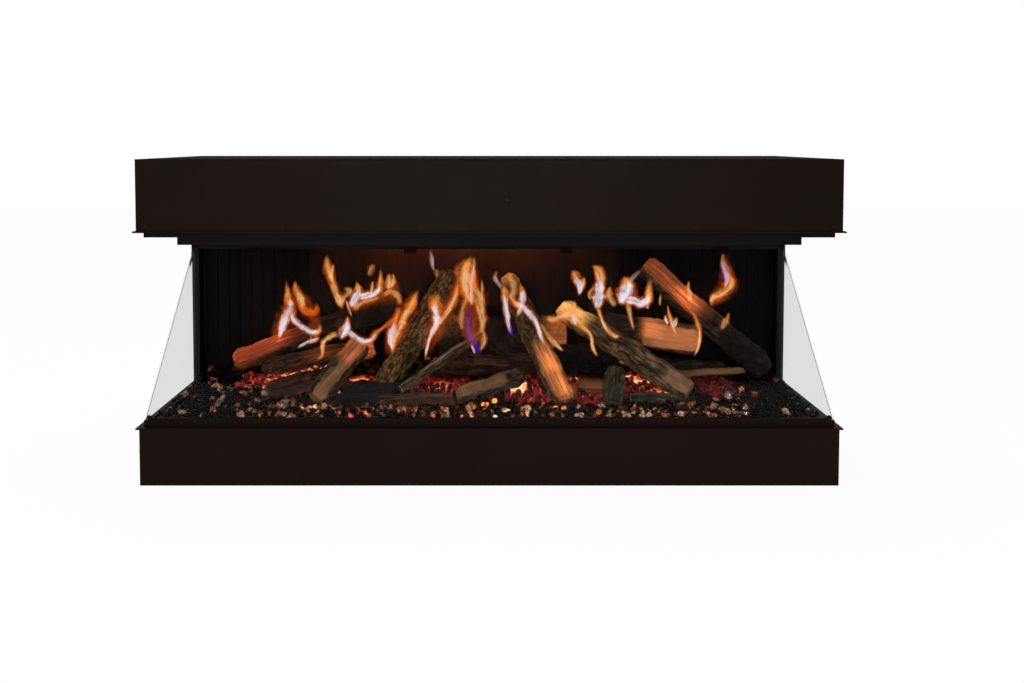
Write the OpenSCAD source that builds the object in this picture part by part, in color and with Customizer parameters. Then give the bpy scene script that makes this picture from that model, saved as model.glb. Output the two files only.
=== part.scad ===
// Built-in electric fire, open to the view on three sides, with a mirrored flame picture.
// Origin: middle of the footprint, on the underside of the base. X runs along the width,
// the front faces -Y. Millimetres.

/* [Casing] */
// Width of the hood and of the base
casing_w = 1143; // [1028:1:1400]
// Depth from the front face to the back of the rear panel
casing_d = 340; // [306:1:400]
// Height over all
casing_h = 534; // [480:1:640]
// Height of the hood
hood_h = 119; // [100:1:150]
// Height of the base
base_h = 96; // [85:1:120]
// Sheet steel of the casings
sheet_t = 1.5; // [1:0.1:2]
// How far the rim plates stand out past the casings
lip_over = 4.5; // [2:0.5:8]
// Thickness of the two rim plates
lip_t = 2.5; // [2:0.5:4]
// Width of the flange folded in under the base
base_flange_w = 12; // [8:1:20]

/* [Rear frame] */
// Width of a rear post
post_w = 14; // [10:1:20]
// Depth of a rear post
post_d = 28; // [20:1:30]
// Depth of the duct between the face of the back wall and the back of the rear panel
duct_d = 40; // [38:1:60]
// Rib spacing on the back wall
rib_pitch = 22; // [16:1:30]
// Width of the groove between two ribs
groove_w = 4; // [3:0.5:6]
// Depth of the groove between two ribs
groove_d = 3; // [2:0.5:4]
// Thickness of the back wall behind the grooves
liner_t = 2; // [1.5:0.5:3]
// Height of one vent slot in the rear panel
vent_h = 4; // [3:0.5:6]
// Number of vent slots behind each fan
vent_count = 6; // [4:1:7]

/* [Glass] */
// Thickness of the sloped pane
glass_t = 4; // [3:0.5:6]
// Lowest front corner of the sloped pane, behind the front face
pane_front = 12; // [11:0.5:14]
// Width of the pane short of the casing, on each side
pane_inset = 2.5; // [1:0.5:6]
// Thickness of a side pane
side_glass_t = 4; // [3:0.5:6]
// Side pane's outer face in from the casing's side
side_glass_inset = 3; // [2:0.5:6]
// Height of the glass rail's front lip above the rim plate
rail_h = 13.5; // [10:0.5:18]
// Height of the raised ends of the glass rail
rail_end_h = 17; // [14:0.5:22]
// Length of one raised end of the glass rail
rail_end_w = 5; // [3:0.5:8]
// Height of the glass rail's thin tips, which cover the lower corners of the sloped pane
rail_tip_h = 9.5; // [8:0.5:12]
// Glass rail short of the casing, on each side
rail_inset = 11.5; // [10:0.5:16]
// Top edge of the sloped pane, below the display surround
pane_top_gap = 35.3; // [34:0.1:50]
// Lower edge of the rail across the top, below the top edge of the pane
top_rail_drop = 3.7; // [2:0.1:8]

/* [Hood underside] */
// Underside pan's inset from the casing's side and front
pan_inset = 9; // [6:0.5:14]
// Depth that the pan hangs below the hood
pan_drop = 8.5; // [6:0.5:12]
// Display surround's side in from the casing's side
surround_inset = 62.5; // [56:0.5:72]
// Front of the display surround, behind the front face
surround_front = 12; // [10:0.5:16]
// Gap between the display surround and the rear posts
surround_gap = 7; // [4:0.5:12]
// Depth that the surround hangs below the pan
surround_drop = 12.5; // [12:0.5:14]
// Rim round the openings in the surround
surround_rim = 6; // [5:0.5:7]
// Overlap of the surround's ledge below the display
display_ledge = 4; // [2:0.5:6]
// Thickness of the display panel
display_t = 8; // [6:0.5:8]
// Length of the warm air slot
slot_l = 460; // [300:10:500]
// Width of the warm air slot
slot_w = 20; // [16:1:22]
// Number of bars in the warm air grille
grille_bars = 22; // [10:1:30]

/* [Heater and fans] */
// Radius of the cross-flow blower wheel
wheel_r = 24; // [20:0.5:26]
// Length of the blower wheel
wheel_l = 360; // [300:5:370]
// Number of blades on the blower wheel
wheel_blades = 20; // [12:1:24]
// Radius of the blower shaft
shaft_r = 3; // [2.5:0.25:4]
// Radial running clearance of every shaft and pin
run_clear = 0.05; // [0.03:0.01:0.09]
// Side of a square cooling fan
fan_w = 80; // [60:5:80]
// Thickness of a cooling fan
fan_t = 20; // [18:1:25]
// Number of blades on a cooling fan
fan_blades = 7; // [5:1:9]
// Distance of a cooling fan from the middle
fan_x = 330; // [300:5:380]

/* [Controls] */
// Width of the button plate
plate_w = 42; // [40:1:44]
// Length of the button plate
plate_l = 112; // [108:1:124]
// Thickness of the button plate
plate_t = 2; // [1.5:0.5:3]
// Radius of a push button
button_r = 4.5; // [3.5:0.25:5.5]
// Travel of a push button
button_travel = 1.5; // [1:0.25:2]
// Spacing of the push buttons
button_pitch = 18; // [16:1:20]
// Width of the rocker
rocker_w = 12; // [10:0.5:14]
// Length of the rocker
rocker_l = 20; // [16:0.5:24]
// Tilt of the rocker to each side of level
rocker_tilt = 7; // [5:0.5:9]
// Radius of the rocker's pin
rocker_pin_r = 1.5; // [1:0.25:2]
// Radius of the receiver window
receiver_r = 2.5; // [2:0.25:4]

/* [Fixings] */
// Fixing holes in the base floor, in from the casing's sides
floor_hole_in = 71.5; // [50:0.5:120]
// Fixing holes in the base floor, spacing along Y
floor_hole_y = 240; // [200:10:260]
// Radius of the fixing holes in the base floor
floor_hole_r = 4.25; // [3:0.25:6]
// Fixing holes in the rear panel, in from the casing's sides
wall_hole_in = 121.5; // [90:0.5:140]
// Fixing holes in the rear panel, spacing along Z
wall_hole_z = 400; // [380:5:410]
// Radius of the fixing holes in the rear panel
wall_hole_r = 3.25; // [2.5:0.25:5]
// Radius of a casing screw's head
screw_head_r = 2.6; // [2:0.2:3.6]
// Radius of a casing screw's shank
screw_r = 1.5; // [1:0.1:1.8]
// Outermost screws of the hood's face, in from the casing's sides
screw_in = 16.5; // [12:0.5:30]

/* [Ember bed] */
// Height of the bed's front edge
bed_z = 101.5; // [100:0.5:104]
// Rise of the bed towards the rear, in the middle
bed_slope = 0.12; // [0.08:0.01:0.14]
// Rise of the bed towards the rear, at the sides
side_slope = 0.04; // [0.02:0.01:0.06]
// Width of the flatter part of the bed at each side
bed_side_w = 61; // [50:1:70]
// Wall of the translucent bed moulding
bed_t = 3; // [2:0.5:4]
// Height of the light tray's floor
tray_z = 58; // [50:1:64]
// Number of light strips under the bed
strip_count = 3; // [2:1:4]
// Lamps on one light strip
lamps_per_strip = 18; // [8:1:24]

/* [Media] */
// Radius of a glass crystal
crystal_r = 6.5; // [5:0.5:8]
// Spacing of the crystals
crystal_pitch = 19; // [17:1:24]
// Radius of a black chip
coal_r = 7.5; // [6:0.5:9]
// Spacing of the black chips
coal_pitch = 21; // [19:1:26]
// Radius of a red bead
bead_r = 4.5; // [3.5:0.25:5.5]
// Spacing of the red beads
bead_pitch = 17; // [14:0.5:24]

/* [Hidden] */
$fn = 48;

// Clearance between sheets and pieces that nest
fit = 0.3;
// Small overlap that makes cuts and unions clean
eps = 0.1;
// How far a bore runs past the sheet it goes through
past = 1;

// Casing
half_w = casing_w / 2;
wall_in = half_w - sheet_t;
rear_y = (casing_d + lip_over) / 2;
front_y = rear_y - casing_d;
panel_d = casing_d - sheet_t;
hood_z = casing_h - hood_h;
base_top = base_h;
cover_z = casing_h - sheet_t;
shell_z = hood_z + lip_t;
top_flange_w = 16;
upstand_h = 16;
screw_head_h = 1.2;
screw_l = 5 * sheet_t;
screw_hole_r = screw_r + run_clear;
cover_vents = 9;
cover_vent_pitch = 22;
cover_vent_w = 6;
cover_vent_l = 40;

// Rear frame
clip_w = 24;
clip_t = 1.5;
clip_h = 16;
clip_reach = 12;
clip_gap = 0.2;
vent_w = 60;
wall_hole_mid = (base_h + hood_z) / 2;
liner_front = casing_d - duct_d;
post_front = liner_front - post_d;
liner_back = liner_front + groove_d + liner_t;
post_in = half_w - post_w;

// Pane: its front face climbs from the rail to below the display surround, one for one in the
// sizes above
rail_floor_t = 3;
pane_z = base_top + rail_floor_t;
pane_end = post_front - fit;
pane_top = hood_z - pan_drop - surround_drop - pane_top_gap;
pane_slope = (pane_top - pane_z) / (pane_end - pane_front);
pane_skew = sqrt(1 + pane_slope * pane_slope) / pane_slope;
pane_run = glass_t * pane_skew;
pane_half = half_w - pane_inset;
clip_pitch = 2 * pane_half / 3.8;
side_glass_out = half_w - side_glass_inset;
rail_front = pane_front - 4;
rail_back = pane_front + 12;
rail_half = half_w - rail_inset;
rail_tip_w = pane_half - rail_half - 2.5;
top_rail_z = pane_top - top_rail_drop;

// Hood underside
pan_half = half_w - pan_inset;
pan_z = hood_z - pan_drop;
pan_back = post_front - fit;
surround_half = half_w - surround_inset;
surround_back = post_front - surround_gap;
surround_z = pan_z - surround_drop;
slot_front = surround_front + surround_rim;
slot_back = slot_front + slot_w;
display_front = slot_back + 4;
display_back = surround_back - surround_rim - 2;
display_half = surround_half - surround_rim - 2;
ledge_t = 2.5;
display_z = surround_z + ledge_t;
backplate_t = 1.5;
hanger_pitch = 2 * display_half / 5;
hanger_w = 20;
hanger_h = 3;
grille_t = 5;
grille_rim = 2;

// Opening in both rim plates, and the bed that fills the lower one
lip_open_half = half_w - 18.5;
lip_open_front = rail_back + 1;
lip_open_back = liner_front - 1;
hood_open_front = pan_inset + 4;
bed_half = lip_open_half - 2;
bed_front = lip_open_front + 1;
bed_back = lip_open_back - 1;
bed_angle = atan(bed_slope);
side_angle = atan(side_slope);
mid_half = bed_half - bed_side_w;
tray_flange_w = 8;
strip_in = 20;
lamp_in = 30;
strip_t = 1.6;
strip_w = 10;
lamp_w = 5;

// Heater: case over the warm air slot, wheel above the element
case_half = 240;
case_front = surround_front + 2;
case_back = case_front + 2 * wheel_r + 16;
case_z = shell_z + 4;
case_top = cover_z - 22;
wheel_d = (case_front + case_back) / 2;
wheel_z = case_top - wheel_r - 6;
wheel_x0 = -case_half + sheet_t + 14;
wheel_x1 = wheel_x0 + wheel_l;
element_h = 24;
element_half = slot_l / 2 - 4;
element_fins = 40;
nozzle_wall = 2;
intake_count = 9;
intake_pitch = 22;
intake_w = 12;
intake_l = 32;
bush_l = 10;
bush_r = 9;
disc_count = 4;
blade_l = 5;
blade_t = 1;
blade_turn = 20;
hub_t = 1.2;
stub_l = 12;
drive_l = 20;
motor_gap = 3;
motor_l = 34;
motor_r = 21;
motor_boss_r = 6;
motor_x0 = wheel_x1 + motor_gap;
nozzle_z = pan_z + fit;

// Cooling fans on the rear panel
fan_z = (hood_z + casing_h) / 2;
fan_back = panel_d;
fan_bore_r = fan_w / 2 - 2;
fan_hub_r = 14;
fan_pin_r = 1.5;
fan_boss_r = 6;
fan_boss_t = 5;
fan_arm_w = 3;
fan_blade_w = 12;
fan_blade_t = 1.4;
fan_blade_turn = 32;

// Controls under the right end of the hood
control_x = (surround_half + pan_half) / 2;
plate_front = 66;
plate_z = pan_z - plate_t;
rocker_y = plate_front + 22;
button_y0 = rocker_y + 30;
button_flange_r = button_r + 1.5;
button_flange_t = 1.2;
button_proud = button_travel + 0.5;
housing_wall = 1.6;
housing_h = 14;
pan_hole_clear = 1;
rocker_clear = housing_wall + pan_hole_clear;
rocker_z = pan_z + 3;

// Receiver window in the hood's face, right of the middle
receiver_x = 28;
receiver_z = hood_z + 54;

// Power: inlet and supply at the left rear
inlet_x = -half_w + 91.5;
inlet_z = 42;
inlet_w = 27;
inlet_h = 20;
inlet_floor = panel_d - 14;
inlet_wall = 2;
pin_pitch = 7;
supply_x = inlet_x + 120;
supply_l = 150;
supply_w = 80;
supply_h = 38;
supply_front = 180;
supply_vent_pitch = 14;
supply_vent_w = 4;
supply_vent_rim = 15;
floor_top = 2 * sheet_t;
loom_r = 3.5;
loom_d = panel_d - 13;
loom_x = supply_x - supply_l / 2 + 20;
loom_low = floor_top + supply_h / 2;
loom_high = hood_z + 10;
board_x0 = 60;
board_w = 150;
board_h = 70;
board_z = hood_z + 28;
standoff_l = 6;
standoff_r = 3;
standoff_in = 6;
board_t = 1.6;
// Relay, processor and the loom's plug: place and size along X, place and size in height, depth
BOARD_PARTS = [[20, 30, 12, 28, 14], [64, 20, 20, 20, 3], [100, 36, 8, 10, 10]];
plug_x = board_x0 + BOARD_PARTS[2][0] + BOARD_PARTS[2][1] / 2;
plug_z = board_z + BOARD_PARTS[2][2];

// First rows of the crystals and of the chips behind the bed's front edge, and where the
// chips of the middle begin at each side
crystal_front = 13;
coal_front = 2 * crystal_pitch + 14;
coal_side = mid_half - bed_side_w + 1;

// Bed that the places of logs and beads are written for: half its width, the distance of the back
// wall, and the heights of the bed's front edge and of the pane's top edge
PLAN = [551, 300, 101.5, 358.7];
spread_x = bed_half / PLAN[0];
spread_d = liner_front / PLAN[1];
spread_z = (pane_top - bed_z) / (PLAN[3] - PLAN[2]);
log_size = min(spread_x, spread_d, spread_z);

// Logs: foot, tip, height and width of the section, kind of section, and the logs it is notched over.
// A foot or a tip is [x, distance behind the front face, z]. Logs that lie lower come first.
LOGS = [
    // 0 dark block, right of the middle
    [[119, 215, 156], [231, 215, 150], 67, 56, 0, []],
    // 1 low centre log
    [[-90, 205, 147], [105, 205, 147], 44, 42, 1, [0]],
    // 2 back centre log
    [[-92, 248, 184], [146, 248, 182], 104, 70, 0, [0, 1]],
    // 3 dark log behind the thin stick
    [[313, 222, 139], [439, 222, 134], 34, 30, 0, []],
    // 4 brown split piece
    [[160, 138, 124], [206, 134, 122], 34, 26, 1, []],
    // 5 small dark half log at the front
    [[246, 88, 119], [325, 88, 118], 22, 22, 2, []],
    // 6 charred log at the front left
    [[-254, 122, 122], [-148, 122, 126], 32, 30, 0, []],
    // 7 front low log
    [[-262, 80, 119], [-62, 80, 119], 26, 26, 2, [6]],
    // 8 dark bark log at the far left front
    [[-386, 106, 124], [-276, 146, 145], 38, 34, 0, [7]],
    // 9 mid left log
    [[-412, 196, 138], [-262, 206, 172], 44, 40, 0, [8]],
    // 10 back left log
    [[-467, 250, 142], [-179, 266, 252], 52, 46, 0, [9]],
    // 11 split tan log, front left
    [[-298, 82, 120], [-229, 152, 199], 46, 44, 1, [6, 7, 8, 9]],
    // 12 tall log leaning on the back wall, left
    [[-188, 144, 120], [-69, 262, 308], 50, 46, 0, [6, 2, 10, 11]],
    // 13 thin stick leaning on the back centre log
    [[-154, 110, 127], [-10, 206, 208], 20, 20, 2, [6, 7, 2, 12]],
    // 14 wedge at the front
    [[-52, 92, 122], [60, 160, 138], 34, 30, 1, [1]],
    // 15 tall log leaning on the back wall, centre
    [[132, 82, 117], [38, 262, 300], 50, 46, 1, [0, 2, 14]],
    // 16 long log, right
    [[347, 96, 128], [136, 222, 251], 46, 44, 0, [0, 2, 5, 15]],
    // 17 upright split piece
    [[212, 80, 112], [222, 112, 164], 36, 38, 1, [4, 16]],
    // 18 thin stick, right
    [[368, 200, 127], [473, 205, 131], 12, 12, 2, [3]],
    // 19 split block resting on the long log
    [[214, 222, 214], [386, 192, 197], 60, 46, 1, [16, 3]],
    // 20 long log leaning on the back wall, right
    [[516, 213, 135], [301, 279, 322], 52, 44, 1, [19, 3, 18]]
];
log_gap = 0.3;

// Radii of the three log sections, going round: barked, split and half round
SECTIONS = [
    [1, 0.95, 1.02, 0.97, 1, 0.94, 1.01, 0.96, 1, 0.97],
    [1, 1, 0.86, 0.98, 0.9, 0.96, 0.8, 1, 0.9, 0.98],
    [0.9, 1, 1.04, 0.96, 0.86, 0.8, 0.84, 0.94, 1.02, 0.98]
];

function bed_top(d) = bed_z + bed_slope * (d - bed_front);
function side_top(d) = bed_z + side_slope * (d - bed_front);
function on_bed(p) = [spread_x * p[0], spread_d * p[1], bed_z + spread_z * (p[2] - PLAN[2])];
function in_row(p) = [p[0], front_y + p[1], p[2]];
function log_section(s) = let(
    r = SECTIONS[s[4]],
    n = len(r)
) [for (k = [0:n - 1]) [
    r[k] * log_size * s[2] / 2 * cos(360 * k / n),
    r[k] * log_size * s[3] / 2 * sin(360 * k / n)
]];
function seg_gap(p, a, b) = let(
    ab = b - a,
    t = max(0, min(1, ((p - a) * ab) / (ab * ab)))
) norm(p - a - t * ab);
function log_clear(p) = min([for (s = LOGS)
    seg_gap(p, on_bed(s[0]), on_bed(s[1])) - log_size * max(s[2], s[3]) / 2
]);

// Box given by its limits along X, behind the front face, and in height
module slab(x0, x1, d0, d1, z0, z1) {
    translate([x0, front_y + d0, z0]) cube([x1 - x0, d1 - d0, z1 - z0]);
}

// Outline in distance behind the front face and height, pulled along X
module along_x(x0, x1, points) {
    translate([x0, front_y, 0]) rotate([90, 0, 90]) linear_extrude(height = x1 - x0) polygon(points);
}

// Round bar between two points
module bar(p, q, r) {
    v = q - p;
    translate(p) rotate([0, acos(v[2] / norm(v)), atan2(v[1], v[0])]) cylinder(h = norm(v), r = r);
}

module base_shell() {
    color([0.1, 0.09, 0.085]) difference() {
        slab(-half_w, half_w, 0, panel_d, 0, base_top - lip_t);
        slab(-wall_in, wall_in, sheet_t, panel_d + eps, sheet_t, base_h);
        slab(-half_w + base_flange_w, half_w - base_flange_w, base_flange_w, panel_d + eps,
            -eps, sheet_t + eps);
    }
}

module base_floor() {
    color([0.2, 0.2, 0.2]) difference() {
        slab(-wall_in + fit, wall_in - fit, sheet_t + fit, panel_d - fit, sheet_t, floor_top);
        for (x = [-1, 1], y = [-1, 1])
            translate([x * (half_w - floor_hole_in), y * floor_hole_y / 2, 0])
                cylinder(h = floor_top + past, r = floor_hole_r);
    }
}

module base_lip() {
    color([0.11, 0.1, 0.09]) difference() {
        slab(-half_w - lip_over, half_w + lip_over, -lip_over, panel_d, base_top - lip_t, base_top);
        slab(-lip_open_half, lip_open_half, lip_open_front, lip_open_back,
            base_top - lip_t - eps, base_top + eps);
        translate([loom_x, front_y + loom_d, 0]) cylinder(h = base_top + past, r = 2 * loom_r);
    }
}

module ember_tray() {
    z1 = base_top - lip_t;
    out = lip_open_half + tray_flange_w;
    color([0.6, 0.61, 0.62]) difference() {
        union() {
            slab(-bed_half - sheet_t, bed_half + sheet_t, bed_front - sheet_t, bed_back + sheet_t,
                tray_z, z1);
            slab(-out, out, lip_open_front - tray_flange_w, lip_open_back + tray_flange_w,
                z1 - sheet_t, z1);
        }
        slab(-bed_half - fit, bed_half + fit, bed_front - fit, bed_back + fit, tray_z + sheet_t, z1 + eps);
    }
}

module ember_bed() {
    z0 = tray_z + sheet_t;
    color([0.55, 0.22, 0.1]) difference() {
        union() {
            bed_wedge(bed_half, 0, z0, side_slope);
            bed_wedge(mid_half, 0, z0, bed_slope);
        }
        bed_wedge(bed_half - bed_t, bed_t, z0 - eps, side_slope);
        bed_wedge(mid_half - bed_t, bed_t, z0 - eps, bed_slope);
    }
}

// Sloped block under the bed's surface, drawn in by a wall on every face but the lowest
module bed_wedge(half, wall, z0, slope) {
    d0 = bed_front + wall;
    d1 = bed_back - wall;
    along_x(-half, half, [
        [d0, z0],
        [d1, z0],
        [d1, bed_z - wall + slope * (d1 - bed_front)],
        [d0, bed_z - wall + slope * (d0 - bed_front)]
    ]);
}

module ember_led_strips() {
    z0 = tray_z + sheet_t;
    for (i = [0:strip_count - 1]) {
        d = bed_front + (i + 0.5) * (bed_back - bed_front) / strip_count;
        color([0.85, 0.85, 0.8])
            slab(-bed_half + strip_in, bed_half - strip_in, d - strip_w / 2, d + strip_w / 2,
                z0, z0 + strip_t);
        for (k = [0:lamps_per_strip - 1]) {
            x = (k + 0.5) * 2 * (bed_half - lamp_in) / lamps_per_strip - bed_half + lamp_in;
            color([1, 0.75, 0.4]) slab(
                x - lamp_w / 2, x + lamp_w / 2, d - lamp_w / 2, d + lamp_w / 2,
                z0 + strip_t, z0 + 2 * strip_t);
        }
    }
}

module glass_rail() {
    lip = 3;
    heel_t = 2;
    heel_h = 4;
    z0 = base_top;
    color([0.06, 0.055, 0.05]) {
        along_x(-rail_half, rail_half, [
            [rail_front, z0],
            [rail_back, z0],
            [rail_back, pane_z + heel_h],
            [rail_back - heel_t, pane_z + heel_h],
            [rail_back - heel_t, pane_z],
            [rail_front + lip, pane_z],
            [rail_front + lip, z0 + rail_h],
            [rail_front, z0 + rail_h]
        ]);
        for (x = [-rail_half, rail_half - rail_end_w])
            slab(x, x + rail_end_w, rail_front, rail_front + lip, z0 + rail_h, z0 + rail_end_h);
        for (x = [-rail_half - rail_tip_w, rail_half])
            slab(x, x + rail_tip_w, rail_front, rail_front + lip, z0, z0 + rail_tip_h);
    }
}

module reflector_glass() {
    color([0.4, 0.42, 0.44, 0.35]) along_x(-pane_half, pane_half, [
        [pane_front, pane_z],
        [pane_front + pane_run, pane_z],
        [pane_end, pane_top - pane_run * pane_slope],
        [pane_end, pane_top]
    ]);
}

module side_glass(side) {
    x0 = side_glass_out - side_glass_t;
    run = pane_run + fit * pane_skew;
    d0 = pane_front + run - (pane_z - base_top) / pane_slope;
    mirror([side < 0 ? 1 : 0, 0, 0])
        color([0.6, 0.63, 0.65, 0.3]) along_x(x0, side_glass_out, [
            [d0, base_top],
            [pane_end, base_top],
            [pane_end, pane_top - run * pane_slope]
        ]);
}

module side_glass_left() {
    side_glass(-1);
}

module side_glass_right() {
    side_glass(1);
}

module post(side) {
    mirror([side < 0 ? 1 : 0, 0, 0])
        color([0.07, 0.07, 0.07]) slab(post_in, half_w, post_front, liner_front, base_top, hood_z);
}

module post_left() {
    post(-1);
}

module post_right() {
    post(1);
}

module glass_top_rail() {
    color([0.07, 0.07, 0.07]) difference() {
        slab(-post_in, post_in, post_front, liner_front, top_rail_z, hood_z);
        slab(-post_in - eps, post_in + eps, post_front + sheet_t, liner_front + eps,
            top_rail_z + sheet_t, hood_z + eps);
    }
}

// Spring clips: a tab on the top rail, and a tongue that lies along the pane's front face
module glass_clips() {
    face_z = pane_top + (post_front - pane_end) * pane_slope + clip_gap;
    tongue_z = face_z - clip_reach * pane_slope;
    rise = clip_t * pane_skew * pane_slope;
    for (k = [-3, -1, 1, 3]) {
        x = k * clip_pitch / 2;
        color([0.5, 0.5, 0.5]) along_x(x - clip_w / 2, x + clip_w / 2, [
            [post_front, face_z + clip_h],
            [post_front, face_z],
            [post_front - clip_reach, tongue_z],
            [post_front - clip_reach, tongue_z + rise],
            [post_front - clip_t, face_z + rise - clip_t * pane_slope],
            [post_front - clip_t, face_z + clip_h]
        ]);
    }
}

module back_liner() {
    half = wall_in - fit;
    n = floor(half / rib_pitch);
    color([0.05, 0.05, 0.05]) difference() {
        slab(-half, half, liner_front, liner_back, base_top, hood_z);
        for (i = [-n:n])
            slab(i * rib_pitch - groove_w / 2, i * rib_pitch + groove_w / 2,
                liner_front - eps, liner_front + groove_d, base_top - eps, hood_z + eps);
    }
}

module rear_panel() {
    color([0.1, 0.1, 0.1]) difference() {
        union() {
            slab(-half_w, half_w, panel_d, casing_d, 0, casing_h);
            for (x = [-half_w, wall_in])
                slab(x, x + sheet_t, liner_front + fit, panel_d, base_top, hood_z);
        }
        for (x = [-1, 1], z = [-1, 1])
            translate([x * (half_w - wall_hole_in), rear_y + past, wall_hole_mid + z * wall_hole_z / 2])
                rotate([90, 0, 0]) cylinder(h = sheet_t + 2 * past, r = wall_hole_r);
        for (x = [-fan_x, fan_x], k = [0:vent_count - 1])
            slab(x - vent_w / 2, x + vent_w / 2, panel_d - past, casing_d + past,
                fan_z + (k - vent_count / 2) * 2 * vent_h + vent_h / 2,
                fan_z + (k - vent_count / 2) * 2 * vent_h + 1.5 * vent_h);
        slab(inlet_x - inlet_w / 2 - fit, inlet_x + inlet_w / 2 + fit, panel_d - past, casing_d + past,
            inlet_z - inlet_h / 2 - fit, inlet_z + inlet_h / 2 + fit);
    }
}

module hood_shell() {
    color([0.1, 0.09, 0.085]) difference() {
        slab(-half_w, half_w, 0, panel_d, shell_z, cover_z);
        slab(-wall_in, wall_in, sheet_t, panel_d + eps, shell_z - eps, cover_z - sheet_t);
        slab(-half_w + top_flange_w, half_w - top_flange_w, top_flange_w, panel_d + eps,
            shell_z, cover_z + eps);
        face_screws() cylinder(h = sheet_t + past, r = screw_hole_r);
        cover_screws() cylinder(h = 2 * sheet_t + past, r = screw_hole_r);
        translate([receiver_x, front_y - past, receiver_z]) rotate([-90, 0, 0])
            cylinder(h = sheet_t + 2 * past, r = receiver_r + fit);
    }
}

module hood_lip() {
    color([0.11, 0.1, 0.09]) difference() {
        union() {
            slab(-half_w - lip_over, half_w + lip_over, -lip_over, panel_d, hood_z, shell_z);
            slab(-wall_in + fit, wall_in - fit, sheet_t + fit, 2 * sheet_t + fit,
                hood_z, shell_z + upstand_h);
        }
        slab(-lip_open_half, lip_open_half, hood_open_front, lip_open_back, hood_z - eps, shell_z + eps);
        translate([loom_x, front_y + loom_d, hood_z - eps]) cylinder(h = lip_t + past, r = 2 * loom_r);
        face_screws() cylinder(h = 2 * sheet_t + past, r = screw_hole_r);
    }
}

module hood_cover() {
    color([0.1, 0.09, 0.085]) difference() {
        slab(-half_w, half_w, 0, panel_d, cover_z, casing_h);
        for (k = [-cover_vents:cover_vents])
            slab(k * cover_vent_pitch - cover_vent_w / 2, k * cover_vent_pitch + cover_vent_w / 2,
                wheel_d - cover_vent_l / 2, wheel_d + cover_vent_l / 2, cover_z - eps, casing_h + eps);
        cover_screws() cylinder(h = sheet_t + past, r = screw_head_r + run_clear);
    }
}

module underside_panel() {
    z1 = pan_z + sheet_t;
    color([0.09, 0.08, 0.075]) difference() {
        slab(-pan_half, pan_half, pan_inset, pan_back, pan_z, hood_z);
        slab(-pan_half + sheet_t, pan_half - sheet_t, pan_inset + sheet_t, pan_back - sheet_t,
            z1, hood_z + eps);
        slab(-surround_half + surround_rim, surround_half - surround_rim,
            surround_front + surround_rim, surround_back - surround_rim, pan_z - eps, z1 + eps);
        slab(control_x - rocker_w / 2 - rocker_clear, control_x + rocker_w / 2 + rocker_clear,
            rocker_y - rocker_l / 2 - rocker_clear, rocker_y + rocker_l / 2 + rocker_clear,
            pan_z - eps, z1 + eps);
        for (k = [0:2])
            translate([control_x, front_y + button_y0 + k * button_pitch, pan_z - eps])
                cylinder(h = sheet_t + past, r = button_flange_r + pan_hole_clear);
    }
}

module display_surround() {
    color([0.08, 0.07, 0.065]) difference() {
        slab(-surround_half, surround_half, surround_front, surround_back, surround_z, pan_z);
        slab(-slot_l / 2, slot_l / 2, slot_front, slot_back, surround_z - eps, pan_z + eps);
        slab(-display_half, display_half, display_front, display_back, display_z, pan_z + eps);
        slab(-display_half + display_ledge, display_half - display_ledge,
            display_front + display_ledge, display_back - display_ledge, surround_z - eps, pan_z);
    }
}

module display_panel() {
    color([0.9, 0.5, 0.2]) slab(
        -display_half + fit, display_half - fit, display_front + fit, display_back - fit,
        display_z, display_z + display_t);
}

module display_backplate() {
    z0 = display_z + display_t;
    color([0.7, 0.71, 0.72]) {
        slab(-display_half + fit, display_half - fit, display_front + fit, display_back - fit,
            z0, z0 + backplate_t);
        for (k = [-3, -1, 1, 3])
            slab((k * hanger_pitch - hanger_w) / 2, (k * hanger_pitch + hanger_w) / 2,
                display_front + fit, display_back - fit, z0 + backplate_t, pan_z + sheet_t + hanger_h);
    }
}

module outlet_grille() {
    half = slot_l / 2 - fit;
    z0 = surround_z + 1;
    z1 = z0 + grille_t;
    step = 2 * half / grille_bars;
    color([0.13, 0.13, 0.13]) difference() {
        slab(-half, half, slot_front + fit, slot_back - fit, z0, z1);
        for (k = [0:grille_bars - 1])
            slab(-half + k * step + grille_rim, -half + (k + 1) * step - grille_rim,
                slot_front + fit + grille_rim, slot_back - fit - grille_rim, z0 - eps, z1 + eps);
    }
}

module heater_case() {
    x0 = -case_half;
    x1 = case_half;
    color([0.66, 0.67, 0.68]) difference() {
        union() {
            slab(x0, x1, case_front, case_back, case_z, case_top);
            slab(-element_half - 2 * nozzle_wall, element_half + 2 * nozzle_wall,
                slot_front + fit, slot_back - fit, nozzle_z, case_z);
        }
        slab(x0 + sheet_t, x1 - sheet_t, case_front + sheet_t, case_back - sheet_t,
            case_z + sheet_t, case_top - sheet_t);
        slab(-element_half - nozzle_wall, element_half + nozzle_wall,
            slot_front + nozzle_wall, slot_back - nozzle_wall, nozzle_z - eps, case_z + 2 * sheet_t);
        for (k = [-intake_count:intake_count])
            slab(k * intake_pitch - intake_w / 2, k * intake_pitch + intake_w / 2,
                wheel_d - intake_l / 2, wheel_d + intake_l / 2, case_top - 2 * sheet_t, case_top + eps);
    }
    color([0.75, 0.6, 0.3]) translate([x0 + sheet_t, front_y + wheel_d, wheel_z]) rotate([0, 90, 0])
        difference() {
            cylinder(h = bush_l, r = bush_r);
            translate([0, 0, -past]) cylinder(h = bush_l + 2 * past, r = shaft_r + run_clear);
        }
}

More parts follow.
